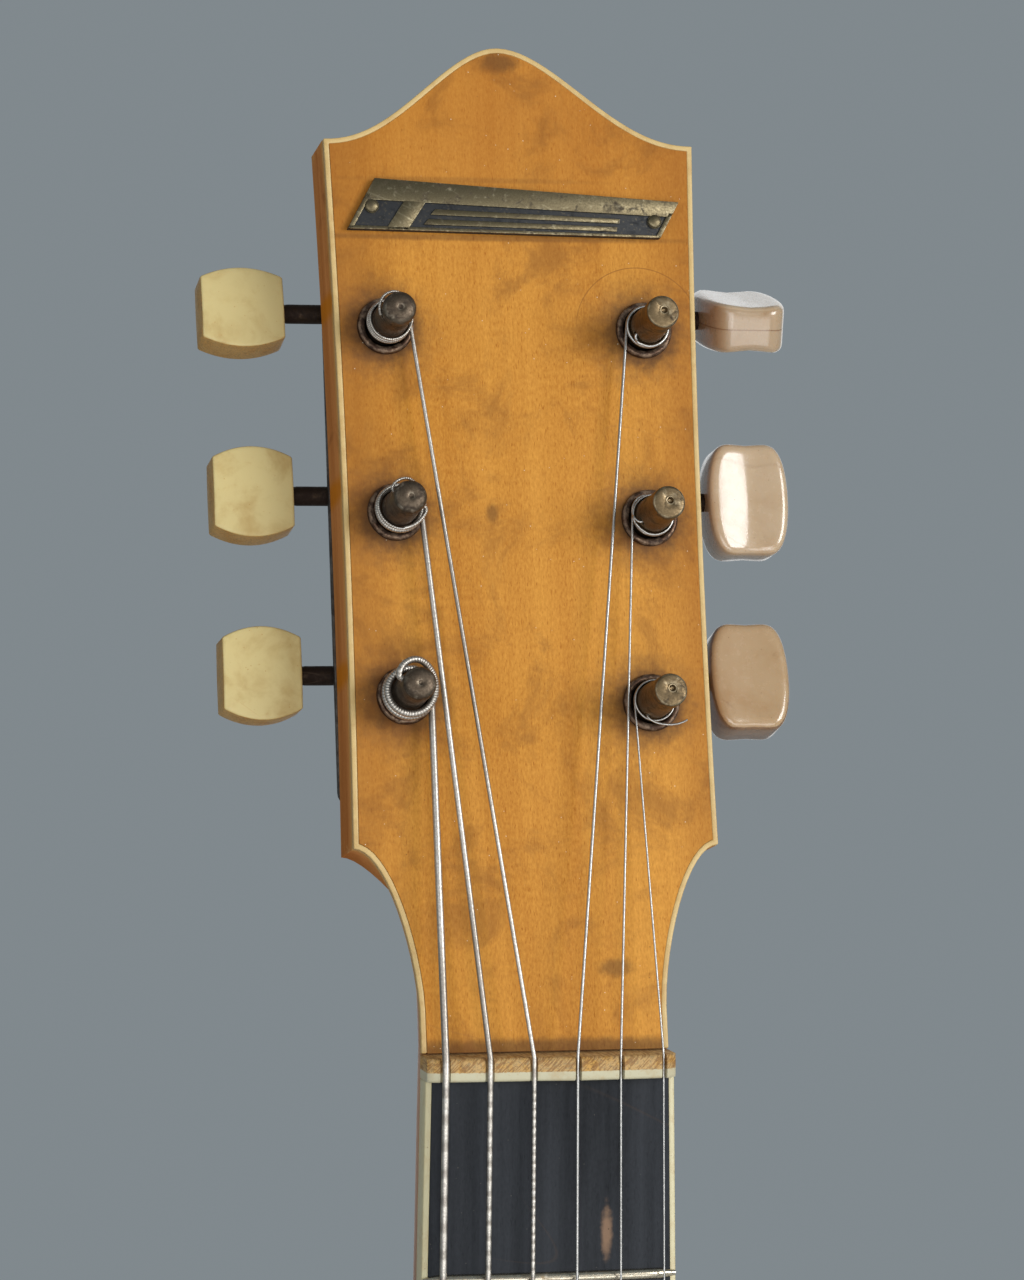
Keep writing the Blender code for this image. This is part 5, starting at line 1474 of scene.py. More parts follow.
    def build_plates(self) -> None:
        """A strip with lugs, bores and four screws for each side."""
        low, high = self.plate_front, self.plate_back
        screw = turned("screw", [(0, 1.1), (1.0, 1.02), (1.7, 0.7), (2.1, 0.1), (2.1, -0.2), (0, -0.2)], 24)
        cut(screw, block("slot", (-3, 0.65, -0.22), (3, 2, 0.22)))
        corner = [(2.2 * math.cos(math.pi * step / 10) - 2.2, 2.2 * math.sin(math.pi * step / 10) - 2.2) for step in range(6)]
        for name, strings, side in (("bass_tuner_plate", (0, 1, 2), -1), ("treble_tuner_plate", (3, 4, 5), 1)):
            outline = []
            for way_x, way_z in ((1, 1), (-1, 1), (-1, -1), (1, -1)):
                turn = corner if way_x == way_z else corner[::-1]
                outline += [(side * 24.65 + way_x * (8.6 + x), 101 + way_z * (54 + z)) for x, z in turn]
            plate = slab(name, outline, low, high)
            holes, lugs = [], []
            for string in strings:
                x, z = POST_PLACES[string]
                hole = turned("hole", ((3.35, low - 1), (3.35, high + 1)), 32)
                holes.append(settle(hole, Matrix.Translation((x, 0, z))))
                lugs += [self.lug(x + way, z + SHAFT_ABOVE_POST) for way in (-7.5, 6.2)]
            cut(plate, joined("holes", holes))
            soften(plate, 0.2, 2)
            show(joined(f"{name}_frame", [plate, *lugs]), TUNER_METAL, HEAD, stands_for=[name])
            for number, (x, z) in enumerate(((30.6, 51), (30.6, 84.5), (30.6, 119), (18.6, 151))):
                place = HEAD @ Matrix.Translation((side * x, high, z)) @ Matrix.Rotation(0.5 + number, 4, "Y")
                show(twin(screw, f"{name}_screw_{number}", place), NICKEL)
        drop(screw)

    def build(self, holes: Sequence[Flat]) -> None:
        """All the tuners.

        Args:
            holes: the strings' holes through their posts.
        """
        self.build_ferrules()
        self.build_posts(holes)
        self.build_shafts()
        self.build_buttons()
        self.build_plates()


@dataclass
class Strings:
    """Six strings from the tailpiece over saddle and nut to their posts.

    Each winding is given by rows of turns from where the string meets its post, height above the face, distance
    from the post's axis, and share of the string's thickness. A distance below 0 is across the axis. The string's
    length runs on inside its winding for the first few points, its lead, so that no gap opens as the post turns.
    """

    windings: tuple[tuple[tuple[float, float, float, float], ...], ...] = (
        (
            (0, 3.4, 4.13, 1), (0.25, 3.5, 4.13, 1), (0.5, 3.7, 4.35, 1), (0.75, 4.1, 4.45, 1), (1, 4.8, 4.2, 1),
            (1.25, 5.2, 4.15, 1), (1.5, 5.7, 4.25, 1), (1.75, 6.2, 4.25, 1), (1.93, 7.2, 4.1, 1), (2.1, 9.6, 4.0, 1),
            (2.25, 12, 4.65, 0.95), (2.36, 12.7, 4.4, 0.95), (2.43, 12.7, 3.8, 0.95), (2.44, 12.5, 3, 0.95),
            (2.44, 12.4, 1.5, 0.9),
        ),
        (
            (0, 3.2, 4.02, 1), (0.5, 3.5, 4.02, 1), (1, 4.3, 4.0, 1), (1.3, 5.4, 4.0, 0.7), (1.5, 6.6, 4.45, 0.48),
            (1.75, 7.1, 4.4, 0.48), (1.95, 7.7, 3.9, 0.48), (2.1, 9.8, 3.5, 0.48), (2.25, 12.1, 3.8, 0.48),
            (2.37, 12.5, 3.7, 0.48), (2.41, 12.4, 3.2, 0.48), (2.42, 12.2, 2, 0.48), (2.42, 11.9, -2.5, 0.55),
            (2.41, 11.5, -3.7, 0.6), (2.33, 10.9, -4.2, 0.62), (2.22, 10.2, -4.9, 0.62),
        ),
        (
            (0, 3.0, 3.95, 0.9), (1, 3.7, 3.75, 0.6), (2, 4.3, 3.75, 0.6), (2.35, 4.9, 3.75, 0.6), (2.5, 5.6, 3.85, 0.6),
            (2.75, 5.8, 3.8, 0.6), (2.95, 6.8, 3.65, 0.6), (3.1, 9.8, 3.4, 0.6), (3.25, 12.4, 3.45, 0.6),
            (3.37, 13, 3.6, 0.6), (3.46, 12.6, 3.45, 0.6), (3.52, 12, 3.3, 0.6),
        ),
        (
            (0, 2.6, 3.78, 1), (1, 3.2, 3.78, 1), (1.75, 3.7, 3.8, 1), (1.85, 4.4, 3.7, 1), (1.88, 4.7, 3.2, 1),
            (1.88, 4.8, 2, 1), (1.88, 4.9, -1, 1),
        ),
        (
            (0, 2.4, 3.72, 1), (0.12, 2.5, 4.1, 1), (0.3, 2.6, 3.8, 1), (1, 2.9, 3.72, 1), (1.8, 3.4, 3.72, 1),
            (1.93, 3.8, 4.0, 1), (1.97, 4.5, 4.2, 1), (1.93, 5, 3.9, 1), (1.9, 5.1, 3.2, 1), (1.9, 5.2, 1, 1),
        ),
        (
            (0, 2.4, 3.68, 1), (1, 2.9, 3.68, 1), (1.28, 3.2, 3.68, 1), (1.33, 3.5, 3.3, 1), (1.34, 3.7, 2.5, 1),
            (1.34, 3.9, -2.8, 1), (1.33, 4, -3.7, 1), (1.28, 4, -4.1, 1), (1.2, 4.1, -4.9, 1), (1.1, 4.2, -6.7, 1),
        ),
    )  # fmt: skip
    lead: int = 6

    def meeting(self, string: int) -> tuple[Vector, float]:
        """Finds where a string meets its post.

        Args:
            string: which string.

        Returns:
            The post's centre, mirrored to the bass side, and the angle there.
        """
        side = -1 if string < 3 else 1
        post_x, post_z = POST_PLACES[string]
        centre = Vector((side * -post_x, post_z))
        towards = Vector((side * -nut_x(string), 0)) - centre
        return centre, math.atan2(towards.y, towards.x) + math.acos(self.windings[string][0][2] / towards.length)

    def winding(self, string: int) -> list[tuple[Vector, float]]:
        """Follows a string's wound end.

        Args:
            string: which string.

        Returns:
            (point, radius) pairs.
        """
        side = -1 if string < 3 else 1
        centre, first = self.meeting(string)
        rows = self.windings[string]
        path = []
        for i, (row, after) in enumerate(zip(rows, rows[1:])):
            steps = max(3, math.ceil(abs(after[0] - row[0]) * 40), math.ceil(abs(after[2] - row[2]) * 2))
            for step in range(steps if i < len(rows) - 2 else steps + 1):
                turn, height, out, share = catmull_rom(rows, i + step / steps)
                a = first + math.tau * turn
                place = (side * -(centre.x + out * math.cos(a)), -height, centre.y + out * math.sin(a))
                path.append((HEAD @ Vector(place), STRING_DIAMETERS[string] / 2 * share))
        return path

    def hole(self, string: int) -> Flat:
        """Finds where a string goes through its post.

        Args:
            string: which string.

        Returns:
            The angle in the post's frame and the height.
        """
        turn, height, *_ = min(self.windings[string], key=lambda row: abs(row[2]))
        a = self.meeting(string)[1] + math.tau * turn
        return (a if string < 3 else math.pi - a), height

    def saddle_point(self, string: int) -> Vector:
        """Where a string's axis crosses the saddle."""
        x = bridge_x(string)
        return NECK @ Vector((x, camber(x) - 5.93, -SCALE_LENGTH))

    def route(self, string: int) -> list[tuple[Vector, float]]:
        """Follows a string from its ball end to the start of its winding.

        Args:
            string: which string.

        Returns:
            (point, radius) pairs.
        """
        thin = STRING_DIAMETERS[string] / 2
        over = BODY @ Vector((bridge_x(string), -27, -374))
        saddle = self.saddle_point(string)
        aim = (saddle - over).normalized()
        spans = ((-8.5, 0.95), (-8.3, 1.6), (-7.6, 1.9), (-6.2, 1.9), (-5.5, 1.6), (-5.2, thin * 1.5))
        path = [(over + aim * along, radius) for along, radius in spans]
        path += [(over + aim * (step - 4.4), thin * (1.55 if step < 22 else 1)) for step in range(24)]
        slot_x = nut_x(string)
        slot_y = camber(slot_x) - 1.5 - GAP - thin
        path += [(saddle, thin), (NECK @ Vector((slot_x, slot_y, -1)), thin)]
        path += [(NECK @ Vector((slot_x, slot_y + 0.15, NUT_THICK)), thin)]
        first, *lead = self.winding(string)[: self.lead]
        return [*path, first, *((at, radius * 0.9) for at, radius in lead)]

    def build(self) -> None:
        """All six strings. Their wound ends are pieces of their own, because they turn with the posts."""
        for string, name in enumerate(STRING_NAMES):
            finish = WOUND_WIRES[string] if string < 3 else PLAIN_WIRE
            show(tube(f"{name}_string", self.route(string)), finish, stands_for=[f"string_{name}"], smooth=60)
            show(tube(f"{name}_winding", self.winding(string)), finish, body=f"post_{name}", smooth=60)


@dataclass
class Fretboard:
    """Nut, fingerboard, its binding, twenty frets and the marker dots."""

    binding: float = 1.1
    fret_width: float = 2.0
    fret_height: float = 1.0
    frets: int = 20

    def build_nut(self) -> None:
        """A bone nut with a slot for each string, its rear half stained."""
        half = NUT_WIDTH / 2
        side = camber(half)
        top = [(-half, side - 1.3), (-half + 0.6, side - 1.9)]
        for string in range(6):
            x = nut_x(string)
            wide = STRING_DIAMETERS[string] / 2 + 0.18
            crest, floor = camber(x) - (2.1 if string < 3 else 2.8), camber(x) - 1.5
            for across, y in ((-1.0, crest), (-0.8, floor), (0.8, floor), (1.0, crest)):
                top.append((x + across * (wide + 0.1 * (abs(across) == 1)), y))
        top += [(half - 0.8, side - 1.9), (half - 0.15, side - 1.3), (half, side - 0.6)]
        top += [(half, BOARD_THICK), (-half, BOARD_THICK)]
        rings = []
        for z, low in ((0.02, 0.45), (0.25, 0.12), (0.6, 0), (1.5, 0), (2, 0), (2.5, 0), (3.4, 0.1), (3.95, 0.35), (4.18, 0.8)):
            rings.append([(x, y + low if y < 0 else y, z) for x, y in top])
        nut = skin("bone_nut", rings)
        mark(nut, "flank", lambda co: smoothstep((co.z - 1.3) / 0.8))
        show(nut, BONE, NECK, stands_for=["nut"])

    def build_board(self) -> None:
        """The dark board between its bindings."""
        rings = []
        for z in (-0.02, -BOARD_LENGTH + self.binding + 0.02):
            half = board_width(z) / 2 - self.binding - 0.02
            crown = [(half * (i / 8 - 1), camber(half * (i / 8 - 1)), z) for i in range(17)]
            rings.append(crown + [(half, BOARD_THICK, z), (-half, BOARD_THICK, z)])
        show(skin("ebonised_board", rings), BOARD_WOOD, NECK, stands_for=["fingerboard"], smooth=30)

    def build_binding(self) -> None:
        """A strip down both sides of the board and across its end."""
        tail = -BOARD_LENGTH
        rings = []
        for side, z in ((-1, -0.02), (-1, tail), (1, tail), (1, -0.02)):
            x = side * board_width(z) / 2
            u, v = x - side * self.binding, z + (self.binding if z == tail else 0)
            top = camber(u) + 0.02
            rings.append([(x, top + 0.25, z), (x, BOARD_THICK, z), (u, BOARD_THICK, v), (u, top, v)])
        line = soften(skin("board_edging", rings), 0.2, 2, 50)
        show(line, BINDING, NECK, stands_for=["fingerboard_binding"], smooth=50)

    def build_frets(self) -> None:
        """Half-round frets that follow the board's camber, the first modelled and the others fitted from it."""
        rings = []
        for i in range(17):
            x = i / 16 - 0.5
            tuck = 0.45 if i in (0, 16) else 1.0
            section = []
            for k in range(9):
                a = math.pi * k / 8
                section.append((x, -self.fret_height * math.sin(a) * tuck, self.fret_width / 2 * math.cos(a) * tuck))
            foot = self.fret_width * 0.4 * tuck
            rings.append(section + [(x, 0.3, -foot), (x, 0.3, foot)])
        first = skin("fret", rings)
        for fret in range(1, self.frets + 1):
            z = -fret_distance(fret)
            copy = twin(first, f"fret_{fret:02d}", Matrix.Diagonal((board_width(z) - 0.3, 1, 1, 1)))
            for vertex in copy.data.vertices:
                vertex.co.y += camber(vertex.co.x)
            show(copy, FRET_METAL, NECK @ Matrix.Translation((0, 0, z)), smooth=60)
        drop(first)

    def build_dots(self) -> None:
        """Pearl dots on the board and small dark ones on its bass side."""
        dot = turned("dot", ((0, -0.04), (2.6, -0.04), (2.8, 0.0), (2.8, 1.5), (0, 1.5)), 32)
        small = turned("side_dot", ((0, -0.05), (0.8, -0.05), (0.9, 0.4), (0, 0.4)), 20, "X")
        for fret in (3, 5, 7, 9, 12, 15, 17, 19):
            z = -(fret_distance(fret) + fret_distance(fret - 1)) / 2
            for number, x in enumerate((-9, 9) if fret == 12 else (0,)):
                place = NECK @ Matrix.Translation((x, camber(x), z)) @ Matrix.Rotation(math.asin(x / 305), 4, "Z")
                show(twin(dot, f"marker_{fret:02d}_{number}", place), PEARL)
            if fret <= 15:
                place = NECK @ Matrix.Translation((-board_width(z) / 2, 3.4, z))
                show(twin(small, f"side_marker_{fret:02d}", place), BLACK)
        drop(dot, small)

    def build(self) -> None:
        """The nut, the board and all that is on it."""
        self.build_nut()
        self.build_board()
        self.build_binding()
        self.build_frets()
        self.build_dots()


@dataclass
class NeckShaft:
    """The neck's rounded shaft and heel, the tongue under the board's end, and the heel cap."""

    depth_nut: float = 15
    depth_join: float = 19
    heel: float = 34
    rim_depth: float = 82
    join_width: float = 56
    top: float = 6.02

    def section(self, z: float, top: float, depth: float, width: float, blunt: float) -> list[Vector]:
        """Draws a rounded section below the board.

        Args:
            z: its height.
            top: y of its flat front.
            depth: how deep it is.
            width: how wide it is.
            blunt: makes it squarer as it falls.

        Returns:
            Its points.
        """
        points = []
        for step in range(33):
            a = math.pi * step / 32
            across = math.copysign(abs(math.cos(a)) ** blunt, math.cos(a))
            points.append(Vector((width / 2 * across, top + depth * math.sin(a) ** blunt, z)))
        return points

    def heel_face(self) -> list[Vector]:
        """Draws the section that meets the rim, upright in the body's frame and flat for the heel cap.

        Returns:
            Its points in the neck's frame.
        """
        floor = self.rim_depth - 3.3
        points = []
        for x, y, _ in self.section(0, 6.3, self.rim_depth + 30, self.join_width, 0.75):
            height = (NECK_IN_BODY @ Vector((0, y, 0))).z
            point = NECK_IN_BODY @ Vector((x, y, (GAP - height) / math.cos(NECK_PITCH)))
            point.y = min(point.y, floor)
            points.append(NECK_IN_BODY.inverted() @ point)
        return points

    def build_shaft(self) -> None:
        """The shaft from inside the headstock to the heel, and the tongue beyond."""
        rings = []
        for rise in (12, 5, 0.4):
            slope = rise * math.tan(HEAD_TILT)
            y = HEAD_DROP + 1.8 / math.cos(HEAD_TILT) + slope
            back = HEAD_DROP + HEAD_THICK / math.cos(HEAD_TILT) + slope - GAP
            rings.append(self.section(NUT_THICK + rise, y, back - y, 44.6, 0.7))
        for z in (0.0, -60, -150, -240, -(NECK_LENGTH - self.heel)):
            depth = self.depth_nut + (self.depth_join - self.depth_nut) * -z / NECK_LENGTH
            rings.append(self.section(z, self.top, depth, board_width(z), 0.8))
        for share, depth in ((0.35, 22), (0.62, 33), (0.82, 52)):
            z = -NECK_LENGTH + self.heel * (1 - share)
            rings.append(self.section(z, self.top, depth, board_width(z), 0.78))
        rings.append(self.heel_face())
        fine = rings[:2]
        for i in range(2, len(rings) - 1):
            fine += [[catmull_rom([ring[k] for ring in rings], i + step / 4) for k in range(33)] for step in range(4)]
        show(skin("neck_shaft", [*fine, rings[-1]]), NECK_WOOD, NECK, stands_for=["neck"], smooth=50)
        ends = ((-NECK_LENGTH + 3, 13.3), (-BOARD_LENGTH + 4, 9.3))
        square = ((-20, 0), (20, 0), (20, 1), (-20, 1))
        tongue = skin("neck_tongue", [[(x, (self.top, low)[deep], z) for x, deep in square] for z, low in ends])
        show(soften(tongue, 0.8, 3), NECK_WOOD, NECK)

    def build_cap(self) -> None:
        """The heel cap, in line with the back."""
        corners = [NECK_IN_BODY @ point for point in self.heel_face()]
        half = max(point.x for point in corners if point.y > self.rim_depth - 4)
        arc = [math.pi * i / 20 for i in range(1, 20)]
        outline = [(-half, 0.05), *((-half * math.cos(a), 9.4 * math.sin(a) ** 0.9 + 0.1) for a in arc), (half, 0.05)]
        cap = soften(slab("heel_plate", outline, self.rim_depth - 3.28, self.rim_depth), 0.4, 2)
        show(cap, ROSEWOOD, BODY, stands_for=["heel_cap"])


@dataclass
class Soundbox:
    """The hollow body: carved plates, rim and bindings."""

    rim_depth: float = 82
    rim_wall: float = 2.5
    plate_edge: float = 4
    arch: float = 17.65
    arch_foot: float = 0.955
    centre_z: float = -275
    binding: float = 1.6
    binding_height: float = 6
    steps: int = 144
    half_outline: tuple[Flat, ...] = (
        (0, 0), (50, -3), (100, -20), (134, -56), (146, -103), (137, -150), (121, -190), (119, -225), (136, -268),
        (168, -312), (194, -352), (202.5, -395), (193, -440), (158, -478), (105, -500), (50, -507), (0, -508),
    )  # fmt: skip
    f_line: tuple[Flat, ...] = (
        (66, -222), (71, -214), (79, -216), (84, -228), (87, -252), (91, -280), (95, -308), (99, -332), (105, -344),
        (114, -346), (119, -338),
    )  # fmt: skip
    f_eyes: tuple[Triple, ...] = ((63.5, -224, 4.5), (117, -335, 5.5))
    f_width: float = 8.5

    def __post_init__(self) -> None:
        """Keeps the angles and distances of the plates' edge about the arch's centre."""
        line = self.outline(self.binding)
        self.edge = sorted((math.atan2(z - self.centre_z, x), math.hypot(x, z - self.centre_z)) for x, z in line)

    def outline(self, inset: float = 0.0) -> list[Flat]:
        """Draws the body's closed outline.

        Args:
            inset: moves it inwards.

        Returns:
            (x, z) points.
        """
        whole = [*self.half_outline, *((-x, z) for x, z in self.half_outline[-2:0:-1])]
        line = [tuple(point) for point in smooth_line(whole, self.steps, True)]
        return offset(line, inset) if inset else line

    def share(self, x: float, z: float) -> float:
        """Tells how far out a point is.

        Args:
            x: its place across.
            z: its height.

        Returns:
            0 at the arch's centre and 1 at the plates' edge.
        """
        a = math.atan2(z - self.centre_z, x)
        after = bisect.bisect(self.edge, (a,)) % len(self.edge)
        (low, near), (high, far) = self.edge[after - 1], self.edge[after]
        part = ((a - low) % math.tau) / ((high - low) % math.tau)
        return math.hypot(x, z - self.centre_z) / (near * (1 - part) + far * part)

    def arch_height(self, share: float) -> float:
        """How far a carved plate rises at a share of the way out to its edge."""
        rise = max(self.arch_foot - share, 0) / self.arch_foot
        return self.arch * smoothstep(rise**0.75)

    def surface(self, x: float, z: float) -> float:
        """The top's outer surface, y in the body's frame."""
        return -self.arch_height(self.share(x, z))

    def plate(self, name: str) -> Thing:
        """Carves a plate in the top's place.

        Args:
            name: the object's name.

        Returns:
            The object.
        """
        line = self.outline(self.binding + 0.02)
        outside = (0.03, 0.1, 0.18, 0.26, 0.34, 0.42, 0.5, 0.58, 0.66, 0.73, 0.79, 0.84, 0.88, 0.915, 0.94, 0.955, 0.965, 0.98, 1)
        inside = (1, 0.96, 0.92, 0.85, 0.78, 0.66, 0.55, 0.38, 0.2, 0.05)
        levels = [(share, -self.arch_height(share)) for share in outside]
        levels += [(share, self.plate_edge + 2 * (1 - share) - self.arch_height(share)) for share in inside]
        rings = [[(x * share, y, self.centre_z + (z - self.centre_z) * share) for x, z in line] for share, y in levels]
        return skin(name, rings)

    def f_hole(self, side: int) -> list[Thing]:
        """Makes cutters for one f-hole: its stem, its two eyes and its two nicks.

        Args:
            side: -1 for the bass side, 1 for the treble side.

        Returns:
            The cutters.
        """
        steps = 48
        line = smooth_line(self.f_line, steps)
        edges = ([], [])
        for i, point in enumerate(line):
            ahead = line[min(i + 1, steps)] - line[max(i - 1, 0)]
            normal = Vector((-ahead.y, ahead.x)).normalized() * self.f_width / 2
            wide = normal * (0.3 + 0.7 * math.sin(math.pi * i / steps))
            edges[0].append(point + wide)
            edges[1].append(point - wide)
        parts = [slab("stem", [(side * p.x, p.y) for p in edges[0] + edges[1][::-1]], -25, 12)]
        middle = line[steps // 2]
        rounds = [(x, z, radius, 32) for x, z, radius in self.f_eyes]
        rounds += [(middle.x + way * 4.3, middle.y, 1.6, 3) for way in (-1, 1)]
        for number, (x, z, radius, sides) in enumerate(rounds):
            drill = turned("drill", ((radius, -26 - number), (radius, 13 + number)), sides)
            parts.append(settle(drill, Matrix.Translation((side * x, 0, z))))
        return parts

    def build_plates(self) -> None:
        """The top with its f-holes, and the back, each with a burst towards its edge."""
        top = self.plate("carved_top")
        for side in (-1, 1):
            cut(top, *self.f_hole(side))
        back = self.plate("carved_back")
        settle(back, Matrix.Translation((0, self.rim_depth, 0)) @ Matrix.Scale(-1, 4, (0, 1, 0)))
        with editing(back):
            face_out()
        for plate, finish, node in ((top, SPRUCE, "top_plate"), (back, BACK_MAPLE, "back_plate")):
            mark(plate, "burst", lambda co: self.share(co.x, co.z))
            show(plate, finish, BODY, stands_for=[node], smooth=45)

    def band(self, name: str, outset: float, inset: float, levels: Sequence[float], edge: float = 0.0) -> Thing:
        """A closed strip that follows the body's outline.

        Args:
            name: the object's name.
            outset: how far its outer side lies inside the outline.
            inset: how far its inner side does.
            levels: y of its rings, from front to back.
            edge: how far its edges are rounded.

        Returns:
            The object.
        """
        outer, inner = self.outline(outset), self.outline(inset)
        rings = [[(x, y, z) for x, z in outer] for y in levels] + [[(x, y, z) for x, z in inner] for y in levels[::-1]]
        obj = skin(name, rings, True)
        return soften(obj, edge, 2, 50) if edge else obj

    def build_rim(self) -> None:
        """The rim, the cream bindings on its edges and the dark lines beside them."""
        edge, middle = self.binding_height, self.rim_depth / 2
        levels = [edge + 0.02 + (self.rim_depth - 2 * edge - 0.04) * i / 8 for i in range(9)]
        rim = self.band("rim_wall", 0.02, self.rim_wall, levels)
        mark(rim, "burst", lambda co: 0.3 + 0.65 * abs(co.y - middle) / (middle - edge))
        show(rim, RIM_MAPLE, BODY, stands_for=["rim"], smooth=50)
        for place, low in (("top", 0.0), ("back", self.rim_depth - edge)):
            line = self.band(f"{place}_edging", 0.0, self.binding, (low, low + edge), 0.35)
            show(line, BINDING, BODY, stands_for=[f"{place}_binding"], smooth=50)
        for place, low in (("top", -0.03), ("back", 81.4)):
            line = self.band(f"{place}_dark_line", self.binding, self.binding + 0.7, (low, low + 0.63))
            show(line, BLACK, BODY, smooth=50)


@dataclass
class Bridge:
    """Base on two feet, studs, two thumbwheels and the saddle."""

    soundbox: Soundbox
    half_length: float = 72
    half_depth: float = 6.5
    foot_inner: float = 40
    stud_x: float = 37
    base_top: float = -27
    saddle_bottom: float = -31.8
    saddle_half: float = 46
    slides: Triple = (-4, 0, 4)

    def __post_init__(self) -> None:
        """Keeps the point below the saddle's line, in the body's frame."""
        self.line = NECK_IN_BODY @ Vector((0, -6, -SCALE_LENGTH))

    def build_base(self) -> None:
        """The base, its feet clear of the arched top as far as they slide."""
        z = self.line.z
        section = ((-1, 0), (-0.5, 0), (0, 0), (0.5, 0), (1, 0), (1, 0.35), (0.92, 0.8), (0.8, 1), (0, 1), (-0.8, 1))
        section += ((-0.92, 0.8), (-1, 0.35))
        rings = []
        for i in range(61):
            x = self.half_length * (i / 30 - 1)
            lift = 3.2 * smoothstep((self.foot_inner - abs(x)) / 9)
            shoulder = smoothstep((abs(x) - 42) / (self.half_length - 42))
            top = self.base_top * (1 - shoulder) + (self.soundbox.surface(x, z) - 3.6) * shoulder
            ring = []
            for share, up in section:
                under = min(self.soundbox.surface(x, z + share * self.half_depth + slide) for slide in self.slides)
                under -= 0.12 + lift
                ring.append((x, under + (top - under) * up, z + share * self.half_depth))
            rings.append(ring)
        show(soften(skin("bridge_foot", rings), 0.3, 2, 55), ROSEWOOD, BODY, "bridge", ["bridge_base"], 50)

    def build_studs(self) -> None:
        """The two studs and the knurled wheels on them."""
        stud = turned("stud", ((0, -38), (1.45, -38), (1.75, -37.7), (1.75, -24), (0, -24)), 24)
        rim = ((2.05, -28.4), (6.6, -28.4), (7.4, -28.7), (7.4, -31.1), (6.6, -31.4), (2.05, -31.4), (2.05, -28.4))
        wheel = turned("wheel", rim, 96)
        for vertex in wheel.data.vertices:
            flat = Vector((vertex.co.x, vertex.co.z))
            if flat.length > 7.2:
                flat *= 1 + 0.075 * round(0.5 + 0.5 * math.cos(math.atan2(flat.y, flat.x) * 48))
                vertex.co.x, vertex.co.z = flat
        for name, side in (("bass", -1), ("treble", 1)):
            at = BODY @ Matrix.Translation((side * self.stud_x, 0, self.line.z))
            show(twin(stud, f"bridge_stud_{name}", at), BRASS, body="bridge")
            show(twin(wheel, f"knurled_wheel_{name}", at), BRASS, body=f"wheel_{name}", stands_for=[f"thumbwheel_{name}"])
        drop(stud, wheel)

    def build_saddle(self) -> None:
        """The saddle: its crest follows the strings, stepped a little for each."""
        z, low = self.line.z, self.saddle_bottom
        rings = []
        for i in range(73):
            x = self.saddle_half * (i / 36 - 1)
            crest = self.line.y + camber(min(abs(x), 30)) + 0.66 + GAP + 3 * smoothstep((abs(x) - 35) / 9)
            lean = 0.9 * math.cos(math.pi * (x / 10.4 + 0.5) * 0.5) * (abs(x) < 31)
            foot = 5 * (1 - 0.25 * smoothstep((abs(x) - 40) / 6))
            side = ((low, foot, 0), (low - 3, foot, 0), (crest + 2, 2.2, 0.5), (crest + 0.5, 1.1, 1), (crest, 0, 1))
            half = [(x, y, z + out + lean * part) for y, out, part in side]
            rings.append(half + [(x, y, z - out + lean * part) for y, out, part in side[-2::-1]])
        saddle = skin("saddle_block", rings)
        bores = []
        for side in (-1, 1):
            bore = turned("bore", ((2.05, -30), (2.05, -39.6)), 24)
            bores.append(settle(bore, Matrix.Translation((side * self.stud_x, 0, z))))
        show(cut(saddle, *bores), ROSEWOOD, BODY, "saddle", ["bridge_saddle"])

    def build(self) -> None:
        """All of the bridge."""
        self.build_base()
        self.build_studs()
        self.build_saddle()


